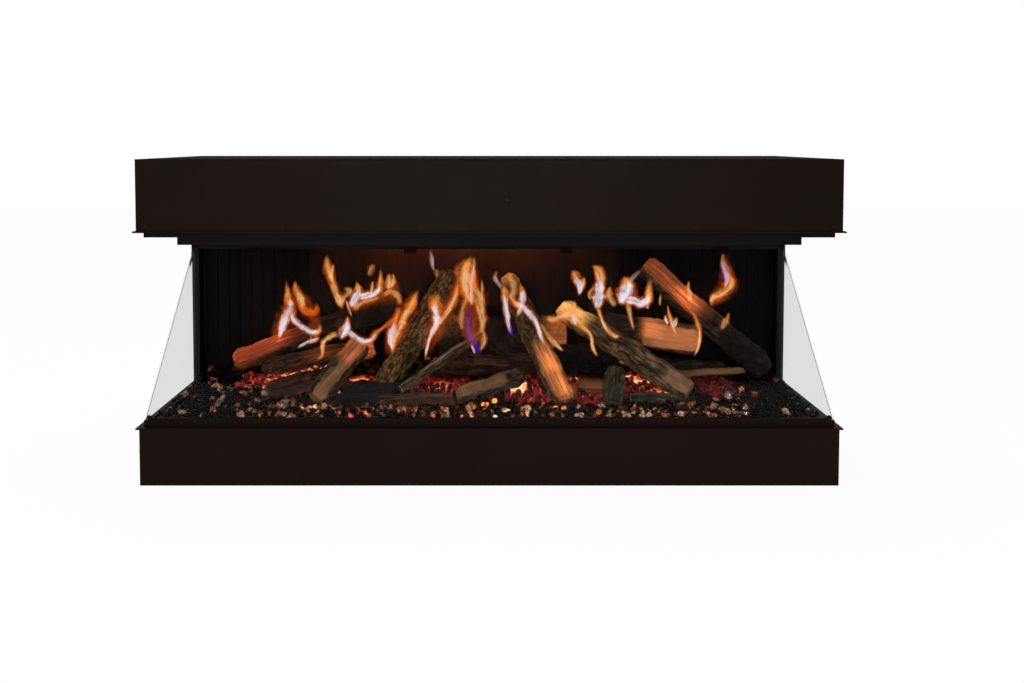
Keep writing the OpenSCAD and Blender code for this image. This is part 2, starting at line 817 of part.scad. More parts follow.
module heater_element() {
    z0 = case_z + sheet_t;
    step = 2 * element_half / element_fins;
    color([0.85, 0.85, 0.82]) difference() {
        slab(-element_half, element_half, slot_front - 2, slot_back + 2, z0, z0 + element_h);
        for (k = [0:element_fins - 1])
            slab(-element_half + k * step + 1, -element_half + (k + 1) * step - 1,
                slot_front + 1, slot_back - 1, z0 - eps, z0 + element_h + eps);
    }
}

module blower_wheel() {
    span = wheel_l - hub_t;
    translate([wheel_x0, front_y + wheel_d, wheel_z]) rotate([0, 90, 0]) color([0.72, 0.73, 0.75]) union() {
        for (k = [0:disc_count])
            translate([0, 0, k * span / disc_count]) cylinder(h = hub_t, r = wheel_r);
        for (k = [0:wheel_blades - 1])
            rotate([0, 0, k * 360 / wheel_blades]) translate([wheel_r - blade_l - 1, -blade_t / 2, 0])
                rotate([0, 0, blade_turn]) cube([blade_l, blade_t, wheel_l]);
        translate([0, 0, -stub_l]) cylinder(h = stub_l + hub_t, r = shaft_r);
        translate([0, 0, wheel_l - hub_t]) cylinder(h = hub_t + motor_gap + drive_l, r = shaft_r);
    }
}

module blower_motor() {
    boss_l = case_half - sheet_t - motor_x0 - motor_l;
    color([0.3, 0.3, 0.32]) translate([motor_x0, front_y + wheel_d, wheel_z]) rotate([0, 90, 0])
        difference() {
            union() {
                cylinder(h = motor_l, r = motor_r);
                translate([0, 0, motor_l]) cylinder(h = boss_l, r = motor_boss_r);
            }
            translate([0, 0, -past]) cylinder(h = drive_l + 2 * past, r = shaft_r + run_clear);
        }
}

module fan_frame(x) {
    color([0.12, 0.12, 0.12]) translate([x, front_y + fan_back, fan_z]) rotate([90, 0, 0]) difference() {
        union() {
            difference() {
                translate([-fan_w / 2, -fan_w / 2, 0]) cube([fan_w, fan_w, fan_t]);
                translate([0, 0, -eps]) cylinder(h = fan_t + past, r = fan_bore_r);
            }
            cylinder(h = fan_boss_t, r = fan_boss_r);
            for (a = [45, 135, 225, 315])
                rotate([0, 0, a]) translate([fan_boss_r - 1, -fan_arm_w / 2, 0])
                    cube([fan_bore_r - fan_boss_r + 2, fan_arm_w, fan_arm_w]);
        }
        translate([0, 0, 1]) cylinder(h = fan_boss_t, r = fan_pin_r + run_clear);
    }
}

module fan_frame_left() {
    fan_frame(-fan_x);
}

module fan_frame_right() {
    fan_frame(fan_x);
}

module fan_rotor(x) {
    z0 = fan_boss_t + 0.6;
    h = fan_t - z0 - 1;
    color([0.16, 0.16, 0.17]) translate([x, front_y + fan_back, fan_z]) rotate([90, 0, 0]) union() {
        translate([0, 0, z0]) cylinder(h = h, r = fan_hub_r);
        translate([0, 0, 1.6]) cylinder(h = z0, r = fan_pin_r);
        for (k = [0:fan_blades - 1])
            rotate([0, 0, k * 360 / fan_blades]) translate([fan_hub_r - 2, 0, z0 + h / 2])
                rotate([fan_blade_turn, 0, 0]) translate([0, -fan_blade_w / 2, -fan_blade_t / 2])
                    cube([fan_bore_r - fan_hub_r, fan_blade_w, fan_blade_t]);
    }
}

module fan_rotor_left() {
    fan_rotor(-fan_x);
}

module fan_rotor_right() {
    fan_rotor(fan_x);
}

module control_board() {
    d1 = panel_d - standoff_l;
    d0 = d1 - board_t;
    color([0.1, 0.35, 0.2]) union() {
        slab(board_x0, board_x0 + board_w, d0, d1, board_z, board_z + board_h);
        for (x = [standoff_in, board_w - standoff_in], z = [standoff_in, board_h - standoff_in])
            translate([board_x0 + x, front_y + panel_d, board_z + z]) rotate([90, 0, 0])
                cylinder(h = standoff_l, r = standoff_r);
        for (q = BOARD_PARTS)
            slab(board_x0 + q[0], board_x0 + q[0] + q[1], d0 - q[4], d0,
                board_z + q[2], board_z + q[2] + q[3]);
    }
}

module power_supply() {
    color([0.7, 0.7, 0.71]) difference() {
        slab(supply_x - supply_l / 2, supply_x + supply_l / 2, supply_front, supply_front + supply_w,
            floor_top, floor_top + supply_h);
        for (k = [-4:4]) {
            x = supply_x + k * supply_vent_pitch;
            slab(x - supply_vent_w / 2, x + supply_vent_w / 2,
                supply_front + supply_vent_rim, supply_front + supply_w - supply_vent_rim,
                floor_top + supply_h - 2, floor_top + supply_h + eps);
        }
    }
}

module power_inlet() {
    h2 = inlet_h / 2;
    w2 = inlet_w / 2;
    color([0.08, 0.08, 0.08]) difference() {
        union() {
            slab(inlet_x - w2, inlet_x + w2, inlet_floor - 4, casing_d, inlet_z - h2, inlet_z + h2);
            slab(inlet_x - w2 - 8, inlet_x + w2 + 8, panel_d - 2, panel_d,
                inlet_z - h2 - 3, inlet_z + h2 + 3);
        }
        slab(inlet_x - w2 + inlet_wall, inlet_x + w2 - inlet_wall, inlet_floor, casing_d + past,
            inlet_z - h2 + inlet_wall, inlet_z + h2 - inlet_wall);
    }
    for (k = [-1, 0, 1])
        color([0.8, 0.78, 0.7]) slab(
            inlet_x + k * pin_pitch - 1, inlet_x + k * pin_pitch + 1, inlet_floor, casing_d - 2,
            inlet_z - 2 + 3 * (1 - abs(k)), inlet_z + 2 + 3 * (1 - abs(k)));
}

module receiver_lens() {
    color([0.15, 0.02, 0.02]) translate([receiver_x, front_y - 0.6, receiver_z]) rotate([-90, 0, 0])
        cylinder(h = 5, r = receiver_r);
}

module wiring_loom() {
    y = front_y + loom_d;
    route = [
        [loom_x, front_y + supply_front + supply_w, loom_low],
        [loom_x, y, loom_low],
        [loom_x, y, loom_high],
        [plug_x, y, loom_high],
        [plug_x, y, plug_z]
    ];
    color([0.15, 0.15, 0.16]) union() {
        for (k = [0:len(route) - 2]) bar(route[k], route[k + 1], loom_r);
        for (k = [1:len(route) - 2]) translate(route[k]) sphere(r = loom_r);
    }
}

// Children are placed at each screw of the hood's face, pointing into it
module face_screws() {
    for (k = [-5, -3, -1, 1, 3, 5])
        translate([k * (half_w - screw_in) / 5, front_y, shell_z + upstand_h / 2]) rotate([-90, 0, 0])
            children();
}

// Children are placed at each sunk screw of the top cover, pointing down
module cover_screws() {
    for (x = [-2, -1, 0, 1, 2])
        translate([x * (half_w - 40) / 2, front_y + top_flange_w / 2, casing_h]) rotate([180, 0, 0])
            children();
    for (x = [-1, 1], d = [panel_d / 2, panel_d - 20])
        translate([x * (half_w - top_flange_w / 2), front_y + d, casing_h]) rotate([180, 0, 0])
            children();
}

module casing_screws() {
    color([0.05, 0.05, 0.05]) {
        face_screws() casing_screw(-screw_head_h);
        cover_screws() casing_screw(0);
    }
}

// Screw with its head starting at a height, and its shank through two sheets and a little more
module casing_screw(z) {
    translate([0, 0, z]) cylinder(h = screw_head_h, r = screw_head_r);
    cylinder(h = screw_l, r = screw_r);
}

module button_plate() {
    d0 = plate_front;
    color([0.14, 0.14, 0.14]) difference() {
        slab(control_x - plate_w / 2, control_x + plate_w / 2, d0, d0 + plate_l, plate_z, pan_z);
        slab(control_x - rocker_w / 2 - fit, control_x + rocker_w / 2 + fit,
            rocker_y - rocker_l / 2 - 2 * fit, rocker_y + rocker_l / 2 + 2 * fit,
            plate_z - eps, pan_z + eps);
        for (k = [0:2])
            translate([control_x, front_y + button_y0 + k * button_pitch, plate_z - eps])
                cylinder(h = plate_t + past, r = button_r + 2 * run_clear);
    }
}

module rocker_housing() {
    w = rocker_w / 2 + fit;
    l = rocker_l / 2 + fit;
    color([0.07, 0.07, 0.07]) difference() {
        slab(control_x - w - housing_wall, control_x + w + housing_wall,
            rocker_y - l - housing_wall, rocker_y + l + housing_wall, pan_z, pan_z + housing_h);
        slab(control_x - w, control_x + w, rocker_y - l, rocker_y + l, pan_z - eps, pan_z + housing_h - 2);
        translate([control_x - w - housing_wall - past, front_y + rocker_y, rocker_z]) rotate([0, 90, 0])
            cylinder(h = 2 * (w + housing_wall + past), r = rocker_pin_r + run_clear);
    }
}

module rocker() {
    h = rocker_l / 2 - 0.2;
    top = 3;
    low = rocker_z - plate_z;
    w = rocker_w / 2;
    dip = h * tan(rocker_tilt);
    translate([control_x, front_y + rocker_y, rocker_z]) rotate([rocker_tilt, 0, 0])
        color([0.09, 0.09, 0.09]) union() {
            translate([-w, 0, 0]) rotate([90, 0, 90]) linear_extrude(height = rocker_w) polygon([
                [-h, top], [h, top], [h, -low], [0, -low - dip], [-h, -low]
            ]);
            translate([-w - fit - housing_wall, 0, 0]) rotate([0, 90, 0])
                cylinder(h = rocker_w + 2 * (fit + housing_wall), r = rocker_pin_r);
        }
}

module push_button(k) {
    stem_h = plate_t + button_proud + fit + eps;
    color([0.2, 0.2, 0.21]) translate([control_x, front_y + button_y0 + k * button_pitch, 0]) union() {
        translate([0, 0, plate_z - button_proud]) cylinder(h = stem_h, r = button_r);
        translate([0, 0, pan_z + fit]) cylinder(h = button_flange_t, r = button_flange_r);
    }
}

module button_flame() {
    push_button(0);
}

module button_ember() {
    push_button(1);
}

module button_heat() {
    push_button(2);
}

// One log, its section grown by a gap on every side
module log_blank(i, grow) {
    s = LOGS[i];
    p = in_row(on_bed(s[0]));
    v = in_row(on_bed(s[1])) - p;
    n = norm(v);
    k = 1 + 2 * grow / (log_size * min(s[2], s[3]));
    translate(p) rotate([0, acos(v[2] / n), atan2(v[1], v[0])])
        translate([0, 0, -grow]) linear_extrude(height = n + 2 * grow) scale([k, k])
            polygon(log_section(s));
}

// A log notched over the logs it lies on, and cut off at the bed and at the back wall
module log_piece(i) {
    difference() {
        log_blank(i, 0);
        for (j = LOGS[i][5]) log_blank(j, log_gap);
        bed_wedge(mid_half + fit, -fit, tray_z, bed_slope);
        bed_wedge(bed_half + 10, -fit, tray_z, side_slope);
        slab(-half_w, half_w, liner_front - fit, casing_d, base_top, hood_z);
    }
}

module log_back_left() {
    color([0.35, 0.2, 0.14]) log_piece(10);
}

module log_mid_left() {
    color([0.2, 0.17, 0.14]) log_piece(9);
}

module log_front_left() {
    color([0.45, 0.32, 0.2]) log_piece(11);
}

module log_leaning_left() {
    color([0.3, 0.25, 0.18]) log_piece(12);
}

module log_stick() {
    color([0.5, 0.4, 0.28]) log_piece(13);
}

module log_front_low() {
    color([0.22, 0.17, 0.13]) log_piece(7);
}

module log_back_centre() {
    color([0.12, 0.1, 0.09]) log_piece(2);
}

module log_low_centre() {
    color([0.16, 0.12, 0.1]) log_piece(1);
}

module log_leaning_centre() {
    color([0.45, 0.3, 0.2]) log_piece(15);
}

module log_long_right() {
    color([0.36, 0.28, 0.18]) log_piece(16);
}

module log_split_block() {
    color([0.55, 0.36, 0.24]) log_piece(19);
}

module log_back_right() {
    color([0.4, 0.24, 0.16]) log_piece(20);
}

module kindling() {
    color([0.28, 0.2, 0.15]) for (i = [0, 3, 4, 5, 6, 8, 14, 17, 18]) log_piece(i);
}

// Chip standing on the bed: place along X and behind the front face, size, sides and turn
module chip(x, d, r, h, sides, turn, middle) {
    slope = middle ? bed_slope : side_slope;
    translate([x, front_y + d, bed_z + slope * (d - bed_front)])
        rotate([middle ? bed_angle : side_angle, 0, 0]) rotate([0, 0, turn])
            cylinder(h = h, r = r, $fn = sides);
}

module glass_crystals() {
    n = floor(bed_half / crystal_pitch) - 1;
    turn = rands(0, 72, 2 * (2 * n + 1), 11);
    high = rands(0, 5, 2 * (2 * n + 1), 12);
    color([0.75, 0.7, 0.62, 0.6]) for (row = [0, 1], i = [-n:n]) {
        k = (i + n) * 2 + row;
        x = (i + 0.5 * row) * crystal_pitch;
        d = bed_front + crystal_front + row * crystal_pitch;
        r = crystal_r * (0.75 + 0.25 * turn[k] / 72);
        if (abs(abs(x) - mid_half) > 2 * crystal_r && log_clear([x, d, bed_top(d) + 6]) > crystal_r + 1)
            chip(x, d, r, 5 + 3 * row + high[k], 5, turn[k], abs(x) < mid_half);
    }
}

module coal_chips() {
    columns = floor(bed_half / coal_pitch);
    rows = floor((bed_back - bed_front - coal_front) / coal_pitch);
    turn = rands(0, 60, (2 * columns + 1) * (rows + 1), 21);
    high = rands(8, 16, (2 * columns + 1) * (rows + 1), 22);
    color([0.05, 0.05, 0.05]) for (i = [-columns:columns], j = [0:rows - 1]) {
        k = (i + columns) * rows + j;
        x = i * coal_pitch;
        d = bed_front + coal_front + j * coal_pitch;
        side = abs(x) > mid_half + coal_r + 1;
        middle = abs(x) < mid_half - coal_r - 1;
        rim = side || (middle && (abs(x) > coal_side || j == rows - 1));
        z = (middle ? bed_top(d) : side_top(d)) + coal_r;
        if (rim && abs(x) < bed_half - coal_r && log_clear([x, d, z]) > coal_r + 1)
            chip(x, d, coal_r * (0.8 + 0.2 * turn[k] / 60), high[k], 6, turn[k], middle);
    }
}

module ember_beads() {
    // Patches of beads: left and right limits along X, near and far limits behind the front face
    patches = [
        [-424, -395, 140, 190], [-365, -265, 165, 205], [-250, -212, 155, 185], [-135, -25, 135, 190],
        [15, 110, 95, 190], [150, 205, 82, 125], [228, 322, 110, 195], [372, 424, 95, 185]
    ];
    color([0.6, 0.03, 0.05]) for (q = patches) {
        for (x = [q[0]:bead_pitch / spread_x:q[1]], y = [q[2]:bead_pitch / spread_d:q[3]]) {
            d = y * spread_d;
            if (log_clear([x * spread_x, d, bed_top(d) + bead_r]) > bead_r + 1)
                translate([x * spread_x, front_y + d, bed_top(d) + bead_r / cos(bed_angle)])
                    sphere(r = bead_r, $fn = 24);
        }
    }
}

base_shell();
base_floor();
base_lip();
ember_tray();
ember_bed();
ember_led_strips();
glass_rail();
reflector_glass();
side_glass_left();
side_glass_right();
post_left();
post_right();
glass_top_rail();
glass_clips();
back_liner();
rear_panel();
hood_shell();
hood_lip();
hood_cover();
underside_panel();
display_surround();
display_panel();
display_backplate();
outlet_grille();
heater_case();
heater_element();
blower_wheel();
blower_motor();
fan_frame_left();
fan_frame_right();
fan_rotor_left();
fan_rotor_right();
control_board();
power_supply();
power_inlet();
receiver_lens();
wiring_loom();
casing_screws();
button_plate();
rocker_housing();
rocker();
button_flame();
button_ember();
button_heat();
log_back_left();
log_mid_left();
log_front_left();
log_leaning_left();
log_stick();
log_front_low();
log_back_centre();
log_low_centre();
log_leaning_centre();
log_long_right();
log_split_block();
log_back_right();
kindling();
glass_crystals();
coal_chips();
ember_beads();
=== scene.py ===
"""Looks of a built-in electric fire that is open to the view on three sides.

Sub-assemblies hold their sizes in millimetres, with x along the width, d behind the front face and z up,
and their meshes are made in metres in the row's frame.
"""

import logging
import math
import random
from dataclasses import dataclass, field
from enum import Enum

import bpy
import numpy as np
from mathutils import Euler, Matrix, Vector


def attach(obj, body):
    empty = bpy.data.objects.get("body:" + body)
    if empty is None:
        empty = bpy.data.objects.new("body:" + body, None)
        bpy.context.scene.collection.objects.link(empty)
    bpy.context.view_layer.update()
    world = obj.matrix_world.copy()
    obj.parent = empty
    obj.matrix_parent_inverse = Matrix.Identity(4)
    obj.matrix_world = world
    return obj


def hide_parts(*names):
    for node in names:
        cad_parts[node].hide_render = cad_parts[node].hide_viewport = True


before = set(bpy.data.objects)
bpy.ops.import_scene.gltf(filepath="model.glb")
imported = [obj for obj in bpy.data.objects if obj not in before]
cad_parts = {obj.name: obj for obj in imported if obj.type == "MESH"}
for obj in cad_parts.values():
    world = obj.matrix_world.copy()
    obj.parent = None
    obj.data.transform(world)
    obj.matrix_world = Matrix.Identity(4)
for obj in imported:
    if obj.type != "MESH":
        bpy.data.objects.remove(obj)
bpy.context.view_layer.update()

LOG = logging.getLogger("fire")
MM = 0.001
BODY = "casing"
HASH_TOP = 0x7FFFFFFF
HASH_FACTORS = (73856093, 19349663, 83492791)
HASH_SEED = 265443576
HASH_STIR = 1274126177
TINY = 1e-6
BLACK = (0.0, 0.0, 0.0)
WHITE = (1.0, 1.0, 1.0)
Colour = tuple[float, float, float]
Place = tuple[float, float, float]
Number = float | np.ndarray
Input = bpy.types.NodeSocket | float | tuple


def smooth(low: float, high: float, value: Number) -> Number:
    """Soft step from 0 at low to 1 at high, for a number or an array."""
    t = np.clip((value - low) / (high - low), 0, 1)
    return t * t * (3 - 2 * t)


def unit(way: Place) -> np.ndarray:
    """A direction of length 1."""
    return np.array(way) / np.linalg.norm(way)


def scatter(cell: np.ndarray, seed: int) -> np.ndarray:
    """Turns rows of whole numbers into numbers with no visible order.

    Args:
        cell: three whole numbers in each row.
        seed: picks the pattern.

    Returns:
        A whole number from 0 to HASH_TOP for each row.
    """
    key = seed * HASH_SEED
    for axis, factor in enumerate(HASH_FACTORS):
        key = key ^ cell[:, axis] * factor
    return (key ^ (key >> 13)) * HASH_STIR & HASH_TOP


def lattice(points: np.ndarray, seed: int) -> np.ndarray:
    """Smooth random values on a unit lattice.

    Args:
        points: places, one row each.
        seed: picks the pattern.

    Returns:
        One value from -1 to 1 for each place.
    """
    base = np.floor(points).astype(np.int64)
    part = points - base
    part = part * part * (3 - 2 * part)
    total = np.zeros(len(points))
    for corner in range(8):
        step = np.array([(corner >> axis) & 1 for axis in range(3)])
        weight = np.prod(np.where(step, part, 1 - part), axis=1)
        total += (scatter(base + step, seed) / (HASH_TOP // 2) - 1) * weight
    return total


def fractal(points: np.ndarray, seed: int, octaves: int = 4) -> np.ndarray:
    """Sum of lattice patterns, each twice as fine and half as strong as the last."""
    return sum(lattice(points * 2**k, seed + k) * 0.5**k for k in range(octaves))


def cells(points: np.ndarray, seed: int) -> np.ndarray:
    """Distance from the border between random cells of about unit size.

    Args:
        points: places, one row each.
        seed: picks the pattern.

    Returns:
        For each place, the second nearest cell centre's distance less the nearest one's.
    """
    base = np.floor(points).astype(np.int64)
    near = np.full((2, len(points)), 9.0)
    for cell in np.ndindex(3, 3, 3):
        at = base + np.array(cell) - 1
        centre = at.astype(float)
        for axis in range(3):
            centre[:, axis] += scatter(at, seed + axis) / HASH_TOP
        far = np.linalg.norm(points - centre, axis=1)
        near[1] = np.minimum(near[1], np.maximum(far, near[0]))
        near[0] = np.minimum(near[0], far)
    return near[1] - near[0]


@dataclass(frozen=True)
class Firebox:
    """Sizes of the casing that the other sub-assemblies are set against."""

    front_y: float = -167.75
    wall_d: float = 300.0
    bed_half: float = 551.0
    side_pane: float = 564.5
    rim_z: float = 96.0
    post_front: float = 276.0
    bed_middle: float = 490.0
    bed_front: float = 26.0
    bed_back: float = 298.0
    bed_z: float = 101.5
    middle_slope: float = 0.12
    side_slope: float = 0.04
    pane_rise: float = 87.0
    pane_thick: float = 5.66

    def bed_height(self, x: np.ndarray, d: np.ndarray) -> np.ndarray:
        """Height of the bed's surface below a place."""
        slope = np.where(np.abs(x) < self.bed_middle, self.middle_slope, self.side_slope)
        return self.bed_z + slope * (d - self.bed_front)

    def ground(self, x: float, d: float) -> float:
        """Height of the bed's surface at one place."""
        return float(self.bed_height(np.array(x), np.array(d)))

    def world(self, points: np.ndarray) -> np.ndarray:
        """Turns places on the casing into places in the row's frame.

        Args:
            points: rows of [x, d, z] in millimetres.

        Returns:
            Rows of x, y and z in metres.
        """
        out = np.array(points, float)
        out[:, 1] += self.front_y
        return out * MM


class Graph:
    """Fills one node tree: adds nodes, sets their sockets and links them."""

    def __init__(self, tree: bpy.types.NodeTree) -> None:
        """Takes the tree to fill."""
        self.tree = tree

    def put(self, socket: bpy.types.NodeSocket, value: Input) -> None:
        """Sets or links a socket.

        Args:
            socket: the input.
            value: a value to set, or another node's output to link.
        """
        if isinstance(value, bpy.types.NodeSocket):
            self.tree.links.new(value, socket)
        elif socket.type == "RGBA" and len(value) == 3:
            socket.default_value = (*value, 1.0)
        else:
            socket.default_value = value

    def fit(self, node: bpy.types.Node, **sockets: Input) -> bpy.types.Node:
        """Sets or links several sockets of a node.

        Args:
            node: the node.
            sockets: value or output for each input by name, with _ for a space.

        Returns:
            The node.
        """
        for name, value in sockets.items():
            self.put(node.inputs[name.replace("_", " ")], value)
        return node

    def add(self, kind: str, sockets: dict | None = None, **settings) -> bpy.types.Node:
        """Adds a node.

        Args:
            kind: the node's type without its common start.
            sockets: input name or number to a value or an output.
            settings: the node's own settings.

        Returns:
            The new node.
        """
        node = self.tree.nodes.new("ShaderNode" + kind)
        for name, value in settings.items():
            setattr(node, name, value)
        for key, value in (sockets or {}).items():
            self.put(node.inputs[key], value)
        return node

    def group(self, tree: bpy.types.NodeTree, **sockets) -> bpy.types.Node:
        """Places a shared effect.

        Args:
            tree: the effect.
            sockets: value or output for each input by name, with _ for a space.

        Returns:
            The group's node.
        """
        node = self.tree.nodes.new("ShaderNodeGroup")
        node.node_tree = tree
        return self.fit(node, **sockets)

    def place(self) -> bpy.types.NodeSocket:
        """Output that gives a point's place on its object, in metres."""
        return self.add("TexCoord").outputs["Object"]

    def axes(self, vector: Input) -> bpy.types.NodeOutputs:
        """Outputs with the three parts of a vector."""
        return self.add("SeparateXYZ", {0: vector}).outputs

    def calc(
        self, operation: str, first: Input, second: Input = 0.0, third: Input = 0.0, clamp: bool = False
    ) -> bpy.types.NodeSocket:
        """Output of a math node on two or three values or outputs."""
        sockets = {0: first, 1: second, 2: third}
        return self.add("Math", sockets, operation=operation, use_clamp=clamp).outputs[0]

    def times(self, first: Input, second: Input, clamp: bool = False) -> bpy.types.NodeSocket:
        """Output with the product of two values or outputs."""
        return self.calc("MULTIPLY", first, second, clamp=clamp)

    def blend(self, factor: Input, first: Input, second: Input, mode: str = "MIX") -> bpy.types.NodeSocket:
        """Mixes two colours.

        Args:
            factor: the second colour's share.
            first: a colour or an output.
            second: a colour or an output.
            mode: the way in which they mix.

        Returns:
            The output with the mixed colour.
        """
        node = self.add("Mix", data_type="RGBA", blend_type=mode)
        for index, value in ((0, factor), (6, first), (7, second)):
            self.put(node.inputs[index], value)
        return node.outputs[2]

    def remap(
        self, value: Input, low: float, high: float, to_low: Input = 0.0, to_high: Input = 1.0
    ) -> bpy.types.NodeSocket:
        """Output of a clamped map from one range to another."""
        sockets = {"Value": value, "From Min": low, "From Max": high, "To Min": to_low, "To Max": to_high}
        return self.add("MapRange", sockets).outputs[0]

    def eased(self, value: Input, low: float, high: float) -> bpy.types.NodeSocket:
        """Output of a soft step from 0 at low to 1 at high."""
        sockets = {"Value": value, "From Min": low, "From Max": high}
        return self.add("MapRange", sockets, interpolation_type="SMOOTHSTEP").outputs[0]

    def ramp(self, factor: Input, stops: tuple[tuple[float, Colour], ...]) -> bpy.types.NodeSocket:
        """Makes a colour ramp.

        Args:
            factor: what moves along the ramp.
            stops: place from 0 to 1 and colour of each stop.

        Returns:
            The output with the ramp's colour.
        """
        node = self.add("ValToRGB", {0: factor})
        points = node.color_ramp.elements
        while len(points) < len(stops):
            points.new(0.5)
        for point, (place, colour) in zip(points, stops):
            point.position = place
            point.color = (*colour, 1.0)
        return node.outputs[0]

    def noise(
        self, vector: Input, scale: float, detail: float = 4.0, rough: float = 0.55
    ) -> bpy.types.NodeSocket:
        """Output of a noise texture on a vector."""
        sockets = {"Vector": vector, "Scale": scale, "Detail": detail, "Roughness": rough}
        return self.add("TexNoise", sockets).outputs[0]

    def stretched(self, vector: Input, scale: Place) -> bpy.types.NodeSocket:
        """Output of a vector scaled apart on its three axes."""
        return self.add("Mapping", {"Vector": vector, "Scale": scale}).outputs[0]

    def bump(self, height: Input, strength: Input, depth: Input) -> bpy.types.NodeSocket:
        """Output of a normal that follows a height; depth is in metres."""
        return self.add("Bump", {"Height": height, "Strength": strength, "Distance": depth}).outputs[0]

    def named(self, name: str) -> bpy.types.Node:
        """Node that reads a value stored on the mesh."""
        return self.add("Attribute", attribute_name=name)

    def close(self, shader: bpy.types.Node) -> None:
        """Links the finished shader to the tree's own output."""
        out = next(node for node in self.tree.nodes if node.type.startswith("OUTPUT"))
        self.put(out.inputs["Surface"], shader.outputs[0])


class Effects:
    """Shared effects, each a node group that is built once and placed with its own values."""

    def __init__(self) -> None:
        """Builds every effect."""
        self.mottle = self._mottle()
        self.pitted = self._pitted()
        self.fibres = self._fibres()
        self.crackle = self._crackle()
        self.brushed = self._brushed()

    @staticmethod
    def _start(
        name: str, inputs: dict, outputs: dict
    ) -> tuple[Graph, bpy.types.NodeOutputs, bpy.types.NodeInputs]:
        """Makes an empty group.

        Args:
            name: the group's name.
            inputs: input name to its number, or to None for a vector.
            outputs: output name to its socket type's ending.

        Returns:
            The graph, the sockets that give the group's inputs and those that take its outputs.
        """
        tree = bpy.data.node_groups.new(name, "ShaderNodeTree")
        for label, value in inputs.items():
            kind = "Vector" if value is None else "Float"
            socket = tree.interface.new_socket(label, in_out="INPUT", socket_type="NodeSocket" + kind)
            if value is not None:
                socket.default_value = value
        for label, kind in outputs.items():
            tree.interface.new_socket(label, in_out="OUTPUT", socket_type="NodeSocket" + kind)
        ins = tree.nodes.new("NodeGroupInput").outputs
        return Graph(tree), ins, tree.nodes.new("NodeGroupOutput").inputs

    def vary(self, g: Graph, scale: float, low: float = 0.0, high: float = 1.0) -> bpy.types.NodeSocket:
        """Output of a value between low and high that changes slowly over a surface."""
        return g.group(self.mottle, Scale=scale, Low=low, High=high).outputs[0]

    def grit(self, g: Graph, scale: float, strength: float, depth: float) -> bpy.types.NodeSocket:
        """Output of the normal of a fine even texture; depth is in metres."""
        return g.group(self.pitted, Scale=scale, Strength=strength, Depth=depth).outputs[0]

    def _mottle(self) -> bpy.types.NodeTree:
        """Slow change of a value over a surface.

        Returns:
            The group.
        """
        g, ins, outs = self._start("mottle", {"Scale": 6.0, "Low": 0.0, "High": 1.0}, {"Value": "Float"})
        cloud = g.add("TexNoise", {"Vector": g.place(), "Scale": ins["Scale"], "Detail": 5.0}).outputs[0]
        g.put(outs["Value"], g.remap(cloud, 0.32, 0.68, ins["Low"], ins["High"]))
        return g.tree

    def _pitted(self) -> bpy.types.NodeTree:
        """Fine even texture of a coat or a moulding, as a normal.

        Returns:
            The group.
        """
        g, ins, outs = self._start(
            "pitted", {"Scale": 900.0, "Strength": 0.2, "Depth": 0.0002}, {"Normal": "Vector"})
        fine = g.add("TexNoise", {"Vector": g.place(), "Scale": ins["Scale"], "Detail": 2.0}).outputs[0]
        g.put(outs["Normal"], g.bump(fine, ins["Strength"], ins["Depth"]))
        return g.tree

    def _fibres(self) -> bpy.types.NodeTree:
        """Wood fibres that run along a piece, as a mask of light streaks and a height.

        Returns:
            The group.
        """
        g, ins, outs = self._start(
            "fibres", {"Grain": None, "Fine": 1.0}, {"Streak": "Float", "Height": "Float"})
        wide = g.stretched(ins["Grain"], (210.0, 210.0, 11.0))
        thin = g.stretched(ins["Grain"], (900.0, 900.0, 30.0))
        broad = g.noise(wide, 1.0, 3.0, 0.6)
        narrow = g.noise(thin, 1.0, 3.0, 0.6)
        mixed = g.calc("MULTIPLY_ADD", narrow, g.times(ins["Fine"], 0.5), broad)
        g.put(outs["Streak"], g.remap(mixed, 0.5, 1.0))
        g.put(outs["Height"], mixed)
        return g.tree

    def _crackle(self) -> bpy.types.NodeTree:
        """Cracks between small blocks, as on charred wood: 1 on a block and 0 in a crack.

        Returns:
            The group.
        """
        g, ins, outs = self._start(
            "crackle", {"Grain": None, "Scale": 1.0, "Width": 0.12}, {"Block": "Float", "Ash": "Float"})
        long = g.stretched(ins["Grain"], (150.0, 150.0, 85.0))
        wobble = g.add("TexNoise", {"Vector": long, "Scale": 2.5, "Detail": 3.0}).outputs[1]
        bent = g.add("VectorMath", {0: long, 1: wobble}, operation="ADD").outputs[0]
        sockets = {"Vector": bent, "Scale": ins["Scale"]}
        blocks = g.add("TexVoronoi", sockets, feature="DISTANCE_TO_EDGE")
        edge = g.add("MapRange", {"Value": blocks.outputs[0], "From Max": ins["Width"]})
        g.put(outs["Block"], edge.outputs[0])
        g.put(outs["Ash"], g.remap(g.noise(long, 1.3, 5.0, 0.7), 0.52, 0.75))
        return g.tree

    def _brushed(self) -> bpy.types.NodeTree:
        """Fine lines of rolled or brushed sheet along X, as a value about 1.

        Returns:
            The group.
        """
        g, ins, outs = self._start("brushed", {"Depth": 0.15}, {"Value": "Float"})
        lines = g.noise(g.stretched(g.place(), (6.0, 700.0, 700.0)), 1.0, 3.0, 0.6)
        low = g.calc("SUBTRACT", 1.0, ins["Depth"])
        high = g.calc("ADD", 1.0, ins["Depth"])
        g.put(outs["Value"], g.remap(lines, 0.3, 0.7, low, high))
        return g.tree


